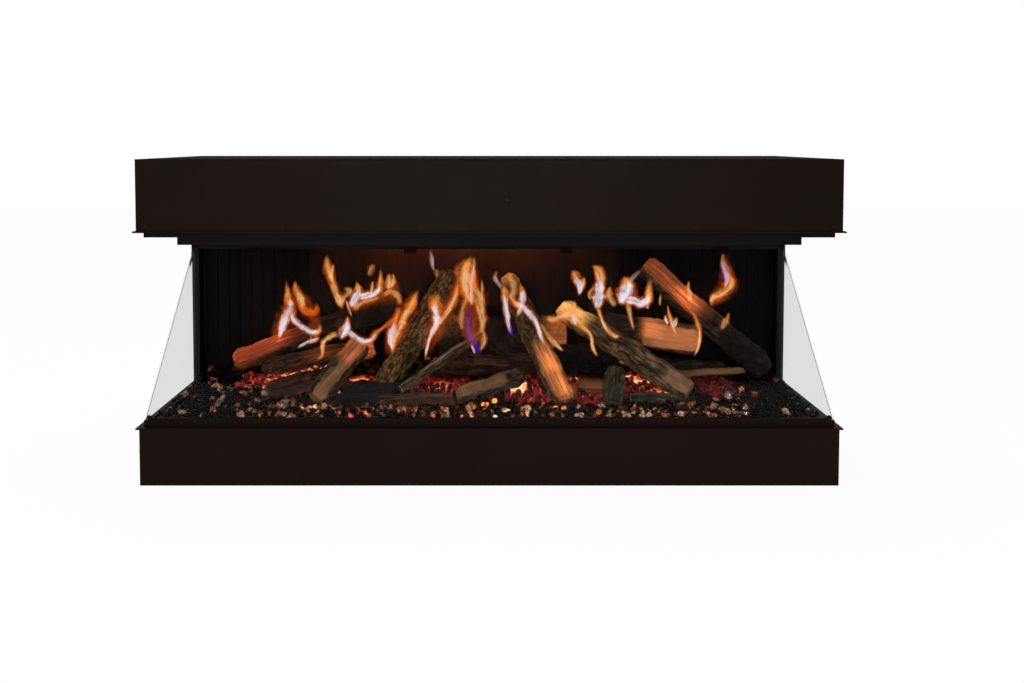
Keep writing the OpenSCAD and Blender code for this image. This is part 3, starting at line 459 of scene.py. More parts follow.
class Finish:
    """A finish of the fire. Each kind fills in its own shader."""

    name: str

    def material(self, effects: Effects) -> bpy.types.Material:
        """Builds the material.

        Args:
            effects: the shared effects.

        Returns:
            The finished material.
        """
        made = bpy.data.materials.new(self.name)
        made.use_nodes = True
        graph = Graph(made.node_tree)
        shader = made.node_tree.nodes["Principled BSDF"]
        self.fill(graph, shader, effects)
        return made

    def fill(self, g: Graph, shader: bpy.types.Node, effects: Effects) -> None:
        """Sets the shader's sockets.

        Args:
            g: the material's graph.
            shader: its main shader.
            effects: the shared effects.
        """
        raise NotImplementedError


def shade(colour: Colour, factor: float) -> tuple[float, float, float, float]:
    """A colour made lighter or darker, with full alpha."""
    return (*(min(1.0, c * factor) for c in colour), 1.0)


@dataclass(frozen=True)
class Coat(Finish):
    """Powder coat or paint on sheet steel, with a fine texture, faint clouds and a little dust."""

    name: str
    colour: Colour
    rough: float
    shine: float
    grit: float = 900.0

    def fill(self, g: Graph, shader: bpy.types.Node, effects: Effects) -> None:
        """Sets the shader's sockets.

        Args:
            g: the material's graph.
            shader: its main shader.
            effects: the shared effects.
        """
        base = g.blend(effects.vary(g, 5.0), shade(self.colour, 0.86), shade(self.colour, 1.16))
        specks = g.add("TexVoronoi", {"Vector": g.place(), "Scale": 160.0, "Randomness": 1.0})
        dust = g.times(g.calc("LESS_THAN", specks.outputs["Distance"], 0.1), 0.35)
        g.fit(
            shader, Base_Color=g.blend(dust, base, shade(self.colour, 4.0)),
            Roughness=effects.vary(g, 11.0, self.rough - 0.035, self.rough + 0.035),
            Specular_IOR_Level=self.shine, Normal=effects.grit(g, self.grit, 0.35, 0.0003))


@dataclass(frozen=True)
class PaintedGlowWall(Coat):
    """Matt wall of the firebox with a painted glow: emission that stands in for the display's light, fading
    from the wall's top edge down and towards its sides, and strongest where the ribs face straight out.
    """

    painted_glow: Colour = (0.088, 0.0205, 0.0075)
    top: float = 0.40
    reach: float = 0.17
    middle: float = -0.045
    half: float = 0.31

    def fill(self, g: Graph, shader: bpy.types.Node, effects: Effects) -> None:
        """Sets the shader's sockets.

        Args:
            g: the material's graph.
            shader: its main shader.
            effects: the shared effects.
        """
        super().fill(g, shader, effects)
        axes = g.axes(g.place())
        fall = g.remap(axes[2], self.top - self.reach, self.top)
        across = g.calc("DIVIDE", g.calc("SUBTRACT", axes[0], self.middle), self.half)
        bright = g.calc("SUBTRACT", 1.0, g.times(across, across), clamp=True)
        level = g.times(g.times(fall, fall), bright)
        cloud = effects.vary(g, 12.0, 0.6, 1.1)
        ribs = g.axes(g.add("NewGeometry").outputs["Normal"])
        level = g.times(g.times(level, cloud), g.calc("ABSOLUTE", ribs[1]))
        # Painted glow: emission on the wall where the display's light would fall.
        g.fit(shader, Emission_Color=g.blend(level, BLACK, self.painted_glow), Emission_Strength=1.0)


@dataclass(frozen=True)
class SheetMetal(Finish):
    """Bare or plated sheet with rolled lines and soft spangle."""

    name: str
    colour: Colour
    rough: float
    spangle: float = 0.2

    def fill(self, g: Graph, shader: bpy.types.Node, effects: Effects) -> None:
        """Sets the shader's sockets.

        Args:
            g: the material's graph.
            shader: its main shader.
            effects: the shared effects.
        """
        grains = g.add("TexVoronoi", {"Vector": g.place(), "Scale": 90.0})
        shine = g.remap(grains.outputs["Color"], 0.2, 0.8, 1.0 - self.spangle, 1.0)
        lines = g.group(effects.brushed, Depth=0.08).outputs[0]
        tone = g.times(shine, lines)
        g.fit(
            shader, Metallic=1.0, Base_Color=g.blend(tone, shade(self.colour, 0.3), shade(self.colour, 1.0)),
            Roughness=effects.vary(g, 24.0, self.rough - 0.07, self.rough + 0.09))


@dataclass(frozen=True)
class Moulding(Finish):
    """Moulded plastic, rubber or ceramic with a fine even grain."""

    name: str
    colour: Colour
    rough: float
    grit: float = 1400.0
    shine: float = 0.35

    def fill(self, g: Graph, shader: bpy.types.Node, effects: Effects) -> None:
        """Sets the shader's sockets.

        Args:
            g: the material's graph.
            shader: its main shader.
            effects: the shared effects.
        """
        dark, light = shade(self.colour, 0.85), shade(self.colour, 1.2)
        g.fit(
            shader, Base_Color=g.blend(effects.vary(g, 30.0), dark, light),
            Roughness=effects.vary(g, 60.0, self.rough - 0.05, self.rough + 0.05),
            Specular_IOR_Level=self.shine, Normal=effects.grit(g, self.grit, 0.25, 0.0002))


@dataclass(frozen=True)
class Pane(Finish):
    """Sheet glass with a ground arris along its sloping edges. Lamps shine through it without bending."""

    name: str
    tint: Colour
    edge: Colour
    bending: float
    arris: float
    upright: bool = False

    def fill(self, g: Graph, shader: bpy.types.Node, effects: Effects) -> None:
        """Sets the shader's sockets.

        Args:
            g: the material's graph.
            shader: its main shader.
            effects: the shared effects.
        """
        g.fit(
            shader, Base_Color=self.tint, Transmission_Weight=1.0, IOR=self.bending,
            Roughness=effects.vary(g, 9.0, 0.0, 0.03))
        clear = g.add("BsdfTransparent", {"Color": self.tint})
        lamp_ray = g.add("LightPath").outputs["Is Shadow Ray"]
        pane = g.add("MixShader", {0: lamp_ray, 1: shader.outputs[0], 2: clear.outputs[0]})
        sideways = g.calc("ABSOLUTE", g.axes(g.add("NewGeometry").outputs["True Normal"])[0])
        place = g.axes(g.place())
        if self.upright:
            edge_face = g.calc("LESS_THAN", sideways, 0.5)
            front = g.calc("GREATER_THAN", g.calc("ABSOLUTE", place[0]), self.arris)
        else:
            edge_face = g.calc("GREATER_THAN", sideways, 0.9)
            front = g.calc("GREATER_THAN", g.calc("SUBTRACT", place[2], place[1]), self.arris)
        ground = g.add("BsdfPrincipled", {"Base Color": self.edge, "Roughness": 0.6})
        g.put(ground.inputs["Alpha"], g.calc("MULTIPLY_ADD", front, 0.95, 0.03))
        g.close(g.add("MixShader", {0: edge_face, 1: pane.outputs[0], 2: ground.outputs[0]}))


@dataclass(frozen=True)
class GlowingBed(Finish):
    """Translucent moulding with a relief of embers, dark crust, and light from below in its open patches."""

    name: str
    patches: tuple[tuple[float, float, float, float, float], ...]
    strength: float

    def fill(self, g: Graph, shader: bpy.types.Node, effects: Effects) -> None:
        """Sets the shader's sockets.

        Args:
            g: the material's graph.
            shader: its main shader.
            effects: not used.
        """
        place = g.place()
        wobble = g.add("TexNoise", {"Vector": place, "Scale": 30.0, "Detail": 3.0}).outputs[1]
        shifted = g.add("VectorMath", {0: wobble, 1: (0.5, 0.5, 0.5)}, operation="SUBTRACT").outputs[0]
        moved = g.add("VectorMath", {0: shifted, 1: (0.03, 0.03, 0.03)}, operation="MULTIPLY").outputs[0]
        bent = g.add("VectorMath", {0: place, 1: moved}, operation="ADD").outputs[0]
        axes = g.axes(bent)
        total = 0.0
        for x, d, wide, deep, power in self.patches:
            y = (d + Firebox.front_y) * MM
            across = g.calc("DIVIDE", g.calc("SUBTRACT", axes[0], x * MM), wide * MM)
            along = g.calc("DIVIDE", g.calc("SUBTRACT", axes[1], y), deep * MM)
            near = g.calc("MULTIPLY_ADD", across, across, g.times(along, along))
            fall = g.calc("SUBTRACT", 1.0, near, clamp=True)
            total = g.calc("MULTIPLY_ADD", fall, power, total)
        lumps = g.add("TexVoronoi", {"Vector": bent, "Scale": 95.0}, feature="SMOOTH_F1").outputs[0]
        crust = g.remap(g.noise(place, 70.0, 5.0, 0.65), 0.42, 0.62)
        light = g.times(total, g.calc("MULTIPLY_ADD", crust, 0.65, 0.35))
        hot = g.ramp(g.times(light, 0.8), (
            (0.0, BLACK), (0.12, (0.10, 0.006, 0.001)), (0.4, (0.62, 0.10, 0.02)),
            (0.75, (1.0, 0.33, 0.10)), (1.0, (1.0, 0.62, 0.35))))
        g.fit(
            shader, Base_Color=g.blend(crust, (0.006, 0.004, 0.003), (0.03, 0.011, 0.006)),
            Emission_Color=hot, Emission_Strength=self.strength, Roughness=0.5,
            Normal=g.bump(lumps, 0.8, 0.004))


@dataclass(frozen=True)
class FlamePicture(Finish):
    """Lit display that shows flames across its width, brightest where they rise."""

    name: str
    strength: float

    def fill(self, g: Graph, shader: bpy.types.Node, effects: Effects) -> None:
        """Sets the shader's sockets.

        Args:
            g: the material's graph.
            shader: its main shader.
            effects: the shared effects.
        """
        place = g.place()
        axes = g.axes(place)
        wobble = g.add("TexNoise", {
            "Vector": g.stretched(place, (14.0, 6.0, 1.0)), "Scale": 1.0, "Detail": 4.0})
        tongues = g.noise(g.stretched(wobble.outputs[1], (5.0, 2.0, 1.0)), 2.0, 4.0, 0.6)
        low = g.remap(axes[1], -0.118, -0.06)
        high = g.remap(axes[1], 0.085, 0.0)
        middle = g.remap(g.calc("ABSOLUTE", axes[0]), 0.5, 0.25)
        body = g.times(g.times(low, high), middle)
        heat = g.times(g.remap(tongues, 0.44, 0.6), body)
        glow = g.ramp(heat, (
            (0.0, (0.012, 0.004, 0.002)), (0.35, (0.7, 0.2, 0.04)), (0.7, (1.0, 0.55, 0.22)),
            (1.0, (1.0, 0.78, 0.55))))
        # The display's light is cut to 15 % for glossy rays, so its real reflection in the pane is faint; the
        # painted flame reflection behind the pane stands in for it.
        mirrored = g.add("LightPath").outputs["Is Glossy Ray"]
        glow = g.blend(g.times(mirrored, 0.85), glow, BLACK)
        g.fit(
            shader, Base_Color=(0.01, 0.01, 0.012), Roughness=effects.vary(g, 14.0, 0.08, 0.14),
            Emission_Color=glow, Emission_Strength=self.strength)


@dataclass(frozen=True)
class Board(Finish):
    """Circuit board with fine tracks. What stands over a height limit along an axis is a part on it."""

    name: str
    mask: Colour
    part: Colour
    axis: int
    limit: float
    glow: float = 0.0

    def fill(self, g: Graph, shader: bpy.types.Node, effects: Effects) -> None:
        """Sets the shader's sockets.

        Args:
            g: the material's graph.
            shader: its main shader.
            effects: the shared effects.
        """
        place = g.place()
        tracks = g.add("TexBrick", {
            "Vector": place, "Scale": 160.0, "Color1": self.mask, "Color2": shade(self.mask, 0.8),
            "Mortar": shade(self.mask, 1.6)})
        over = g.calc("GREATER_THAN", g.axes(place)[self.axis], self.limit)
        if self.axis == 1:
            over = g.calc("SUBTRACT", 1.0, over)
        g.fit(
            shader, Base_Color=g.blend(over, tracks.outputs[0], self.part),
            Roughness=effects.vary(g, 40.0, 0.3, 0.45))
        if self.glow:
            lit = g.blend(over, BLACK, (1.0, 0.62, 0.28))
            g.fit(shader, Emission_Color=lit, Emission_Strength=self.glow)


@dataclass(frozen=True)
class FireLog(Finish):
    """Painted casting of a log: bark, split wood, char, and painted firelight, an emission on the places that
    its plan marks as lit.
    """

    name: str
    bark_dark: Colour
    bark_light: Colour
    wood_dark: Colour
    wood_light: Colour
    # Colour and strength of the painted firelight.
    ember: Colour = (1.0, 0.30, 0.07)
    firelight_strength: float = 1.5
    streaky: float = 1.4
    coal: Colour = (0.006, 0.005, 0.0045)
    ash: Colour = (0.085, 0.068, 0.052)
    soot: Colour = (0.0015, 0.0012, 0.001)

    def fill(self, g: Graph, shader: bpy.types.Node, effects: Effects) -> None:
        """Sets the shader's sockets.

        Args:
            g: the material's graph.
            shader: its main shader.
            effects: the shared effects.
        """
        grain = g.named("grain").outputs["Vector"]
        worn = g.named("worn")
        mask = g.add("SeparateColor", {0: worn.outputs["Color"]}).outputs
        wood, char, crack = mask[0], mask[1], mask[2]
        raised = worn.outputs["Alpha"]
        fibres = g.group(effects.fibres, Grain=grain, Fine=1.0).outputs
        blocks = g.group(effects.crackle, Grain=grain, Scale=1.0, Width=0.14).outputs
        patch = g.remap(g.noise(grain, 42.0, 4.0, 0.6), 0.4, 0.62)
        speck = g.remap(g.noise(grain, 620.0, 3.0, 0.7), 0.42, 0.62)
        tone = g.calc("MULTIPLY_ADD", fibres["Streak"], 0.35, g.times(raised, 0.55))
        patchy = g.remap(patch, 0.0, 1.0, 0.55, 1.15)
        tone = g.times(g.calc("MULTIPLY_ADD", speck, 0.3, tone), patchy)
        bark = g.blend(tone, self.bark_dark, self.bark_light)
        bark = g.blend(g.times(crack, 0.85), bark, shade(self.bark_dark, 0.2))
        split = g.blend(fibres["Streak"], self.wood_dark, self.wood_light)
        split = g.blend(g.times(patch, 0.4), split, shade(self.wood_dark, 0.7))
        split = g.blend(g.times(crack, 0.6), split, shade(self.wood_dark, 0.3))
        coal = g.blend(g.times(blocks["Ash"], raised), self.coal, self.ash)
        coal = g.blend(blocks["Block"], self.soot, coal)
        colour = g.blend(wood, bark, split)
        burnt = g.remap(g.calc("MULTIPLY_ADD", g.noise(grain, 90.0, 4.0, 0.6), 0.5, char), 0.62, 0.86)
        # Painted firelight: emission where the stored lit mask is set, stronger along grain streaks and in
        # the seams between charred blocks.
        lit = g.named("lit").outputs["Fac"]
        seams = g.times(g.calc("SUBTRACT", 1.0, blocks["Block"]), burnt)
        streak = g.calc("POWER", fibres["Streak"], self.streaky)
        unburnt = g.calc("SUBTRACT", 1.0, burnt)
        grains = g.times(g.calc("MULTIPLY_ADD", streak, 0.85, 0.12), unburnt)
        warm = g.times(lit, g.calc("MULTIPLY_ADD", seams, 0.6, grains))
        glow = g.blend(0.3, self.wood_light, WHITE)
        glow = g.blend(1.0, glow, self.ember, "MULTIPLY")
        height = g.calc("MULTIPLY_ADD", burnt, blocks["Block"], fibres["Height"])
        height = g.calc("MULTIPLY_ADD", speck, 0.35, height)
        g.fit(
            shader, Base_Color=g.blend(burnt, colour, coal), Emission_Color=g.blend(warm, BLACK, glow),
            Emission_Strength=self.firelight_strength, Roughness=g.remap(burnt, 0.0, 1.0, 0.85, 0.55),
            Specular_IOR_Level=0.12, Normal=g.bump(height, 0.9, 0.0018))


@dataclass(frozen=True)
class Shards(Finish):
    """Crushed glass or beads, tinted piece by piece from the colour stored on the mesh, with painted glow and
    painted glints from the light colour stored on it.
    """

    name: str
    rough: float
    clear: float
    glow: float
    shine: float = 0.5

    def fill(self, g: Graph, shader: bpy.types.Node, effects: Effects) -> None:
        """Sets the shader's sockets.

        Args:
            g: the material's graph.
            shader: its main shader.
            effects: the shared effects.
        """
        tint = g.named("tint").outputs["Color"]
        veins = effects.vary(g, 150.0, 0.75, 1.1)
        grey = g.add("CombineColor", {0: veins, 1: veins, 2: veins}).outputs[0]
        # The stored lit colour is painted glow and painted glints, standing in for the bed's light through
        # the pieces.
        g.fit(
            shader, Base_Color=g.blend(1.0, tint, grey, "MULTIPLY"),
            Roughness=effects.vary(g, 120.0, self.rough * 0.6, self.rough * 1.5),
            Transmission_Weight=self.clear, Specular_IOR_Level=self.shine, IOR=1.5,
            Emission_Color=g.named("lit").outputs["Color"], Emission_Strength=self.glow)


@dataclass(frozen=True)
class Flame(Finish):
    """Flame of the painted reflection of the display: light only, whitish or bluish inside and orange at its
    ragged edges.
    """

    name: str
    strength: float

    def fill(self, g: Graph, shader: bpy.types.Node, effects: Effects) -> None:
        """Sets the shader's sockets.

        Args:
            g: the material's graph.
            shader: its main shader.
            effects: not used.
        """
        core = g.named("tint").outputs["Color"]
        light = g.named("lit").outputs["Fac"]
        flow = g.named("flow").outputs["Vector"]
        axes = g.axes(flow)
        ragged = g.noise(g.stretched(flow, (0.9, 0.11, 1.0)), 1.0, 4.0, 0.6)
        drift = g.times(g.calc("SUBTRACT", ragged, 0.46), 1.3)
        edge = g.calc("ADD", g.calc("ABSOLUTE", axes[0]), drift)
        heat = g.calc("SUBTRACT", 1.0, edge, clamp=True)
        veil = g.noise(g.stretched(flow, (2.9, 0.055, 1.0)), 1.0, 4.0, 0.65)
        body = g.times(g.eased(heat, 0.0, 0.95), 0.66)
        soft = g.times(body, g.remap(veil, 0.33, 0.62, 0.28, 1.12))
        rim = g.ramp(heat, (
            (0.0, (0.85, 0.06, 0.005)), (0.25, (1.0, 0.12, 0.012)), (0.5, (1.0, 0.25, 0.035)),
            (0.8, (1.0, 0.42, 0.10))))
        rim = g.blend(g.calc("SUBTRACT", 1.0, g.named("tint").outputs["Alpha"]), rim, core)
        whiter = g.times(heat, g.named("core").outputs["Fac"])
        inner = g.eased(g.times(whiter, g.remap(veil, 0.34, 0.62, 0.72, 1.2)), 0.34, 0.8)
        g.fit(
            shader, Base_Color=BLACK, Roughness=1.0, Specular_IOR_Level=0.0,
            Emission_Color=g.blend(inner, rim, core), Emission_Strength=self.strength,
            Alpha=g.times(soft, light, clamp=True))


STORED = {1: ("FLOAT", "value"), 3: ("FLOAT_VECTOR", "vector"), 4: ("FLOAT_COLOR", "color")}


class Dresser:
    """Makes materials once and puts them on CAD nodes and new pieces."""

    def __init__(self) -> None:
        """Builds the shared effects."""
        self.effects = Effects()
        self.made: dict[str, bpy.types.Material] = {}

    def material(self, finish: Finish) -> bpy.types.Material:
        """Finds or builds a finish's material.

        Args:
            finish: the finish.

        Returns:
            Its material, built on its first use.
        """
        if finish.name not in self.made:
            self.made[finish.name] = finish.material(self.effects)
        return self.made[finish.name]

    def dress(self, finish: Finish, *nodes: str) -> None:
        """Gives CAD nodes a finish.

        Args:
            finish: the finish.
            nodes: the nodes' names.
        """
        for name in nodes:
            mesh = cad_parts[name].data
            mesh.materials.clear()
            mesh.materials.append(self.material(finish))
            LOG.info("%s: %s", name, finish.name)

    def piece(
        self,
        name: str,
        points: np.ndarray,
        faces: list,
        finish: Finish,
        slot: str,
        replaces: tuple[str, ...] = (),
        values: dict[str, np.ndarray] | None = None,
        soft: bool = True,
    ) -> bpy.types.Object:
        """Makes a new piece that rides on the casing.

        Args:
            name: the piece's name.
            points: places in metres.
            faces: corner numbers of each face.
            finish: what it is dressed in.
            slot: not used.
            replaces: CAD nodes that it stands for.
            values: numbers or colours for each point, by name.
            soft: True for smooth shading.

        Returns:
            The piece.
        """
        mesh = bpy.data.meshes.new(name)
        mesh.from_pydata(points.tolist(), [], [tuple(int(i) for i in f) for f in faces])
        mesh.polygons.foreach_set("use_smooth", [soft] * len(mesh.polygons))
        for key, data in (values or {}).items():
            data = np.asarray(data, np.float32)
            kind, channel = STORED[1 if data.ndim == 1 else data.shape[1]]
            mesh.attributes.new(key, kind, "POINT").data.foreach_set(channel, data.ravel())
        mesh.materials.append(self.material(finish))
        made = bpy.data.objects.new(name, mesh)
        bpy.context.scene.collection.objects.link(made)
        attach(made, BODY)
        if replaces:
            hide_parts(*replaces)
        LOG.info("%s: %d faces, %s", name, len(faces), finish.name)
        return made


class Section(Enum):
    """Outline of a log: its radii going round, as shares of half its height and width."""

    BARKED = (1, 0.95, 1.02, 0.97, 1, 0.94, 1.01, 0.96, 1, 0.97)
    SPLIT = (1, 1, 0.86, 0.98, 0.9, 0.96, 0.8, 1, 0.9, 0.98)
    HALF_ROUND = (0.9, 1, 1.04, 0.96, 0.86, 0.8, 0.84, 0.94, 1.02, 0.98)

    def radius(self, angle: np.ndarray) -> np.ndarray:
        """Radius with soft corners.

        Args:
            angle: angles in turns.

        Returns:
            The share of half the height and width at each angle.
        """
        share = (angle % 1.0) * len(self.value)
        low = np.floor(share).astype(int)
        part = smooth(0, 1, share - low)
        radii = np.array(self.value)
        return radii[low % len(radii)] * (1 - part) + radii[(low + 1) % len(radii)] * part


@dataclass(frozen=True)
class SplitFace:
    """Flat face where wood has split away: where it faces, how far from the axis, and its stretch."""

    facing: Place
    depth: float
    start: float = -0.1
    end: float = 1.1


@dataclass(frozen=True)
class Knot:
    """Knot on a log: its share along it, where it faces and its radius."""

    along: float
    facing: Place
    radius: float


@dataclass(frozen=True)
class Lit:
    """Place with painted firelight: from and to along the log, where it faces and how strongly."""

    start: float
    end: float
    facing: Place
    power: float = 1.0


@dataclass(frozen=True)
class LogPlan:
    """One log: its place, size, outline and what has happened to it."""

    piece: str
    node: str
    slot: str
    foot: Place
    tip: Place
    high: float
    wide: float
    section: Section
    finish: FireLog
    faces: tuple[SplitFace, ...] = ()
    knots: tuple[Knot, ...] = ()
    lit: tuple[Lit, ...] = ()
    char: tuple[tuple[float, float, float], ...] = ()
    relief: float = 2.4
    bow: float = 2.0
    plate: tuple[float, float] = (10.0, 26.0)
    worn: float = 0.2


FRONT_UP = (0.0, -0.8, 0.6)
# Where a finish below has a fifth colour, that is the colour of its painted firelight, and the first number
# after it is that light's strength.
MOSSY = FireLog("mossy_bark", (0.020, 0.013, 0.006), (0.33, 0.18, 0.055), (0.14, 0.08, 0.03),
                (0.46, 0.27, 0.11), (1.0, 0.45, 0.14))
RIDGED = FireLog("ridged_bark", (0.020, 0.013, 0.007), (0.31, 0.195, 0.088), (0.10, 0.05, 0.024),
                 (0.36, 0.2, 0.1), (1.0, 0.6, 0.17), 3.4)
BROWN = FireLog("brown_bark", (0.012, 0.006, 0.003), (0.13, 0.052, 0.022), (0.07, 0.026, 0.010),
                (0.22, 0.09, 0.036))
GREEN = FireLog("green_black_bark", (0.010, 0.008, 0.005), (0.14, 0.105, 0.05), (0.06, 0.045, 0.025),
                (0.2, 0.14, 0.075))
GREYED = FireLog("greyed_wood", (0.018, 0.011, 0.006), (0.16, 0.10, 0.05), (0.10, 0.046, 0.019),
                 (0.34, 0.165, 0.07))
PALE_STICK = FireLog("pale_wood", (0.03, 0.02, 0.012), (0.2, 0.13, 0.07), (0.25, 0.155, 0.08),
                     (0.62, 0.42, 0.24))
RED_LIT = FireLog("red_lit_wood", (0.012, 0.007, 0.004), (0.07, 0.042, 0.024), (0.018, 0.006, 0.003),
                  (0.15, 0.045, 0.02), (1.0, 0.17, 0.05), 5.2, 4.6)
HALF_BARE = FireLog("half_bare_wood", (0.018, 0.012, 0.006), (0.22, 0.135, 0.05), (0.08, 0.028, 0.010),
                    (0.30, 0.12, 0.046), (1.0, 0.38, 0.11), 3.2, 2.2)
TAN = FireLog("tan_split_wood", (0.014, 0.010, 0.007), (0.09, 0.06, 0.04), (0.06, 0.022, 0.009),
              (0.24, 0.095, 0.04), (1.0, 0.25, 0.065), 4.4, 2.2)
TAN_FACE = FireLog("tan_sawn_wood", (0.012, 0.008, 0.006), (0.10, 0.06, 0.035), (0.33, 0.135, 0.058),
                   (0.52, 0.22, 0.095), (1.0, 0.36, 0.11), 1.7, 0.6)
CHARRED = FireLog("charred_wood", (0.009, 0.007, 0.005), (0.12, 0.08, 0.045), (0.05, 0.028, 0.014),
                  (0.16, 0.09, 0.04), (1.0, 0.32, 0.08), 2.0)

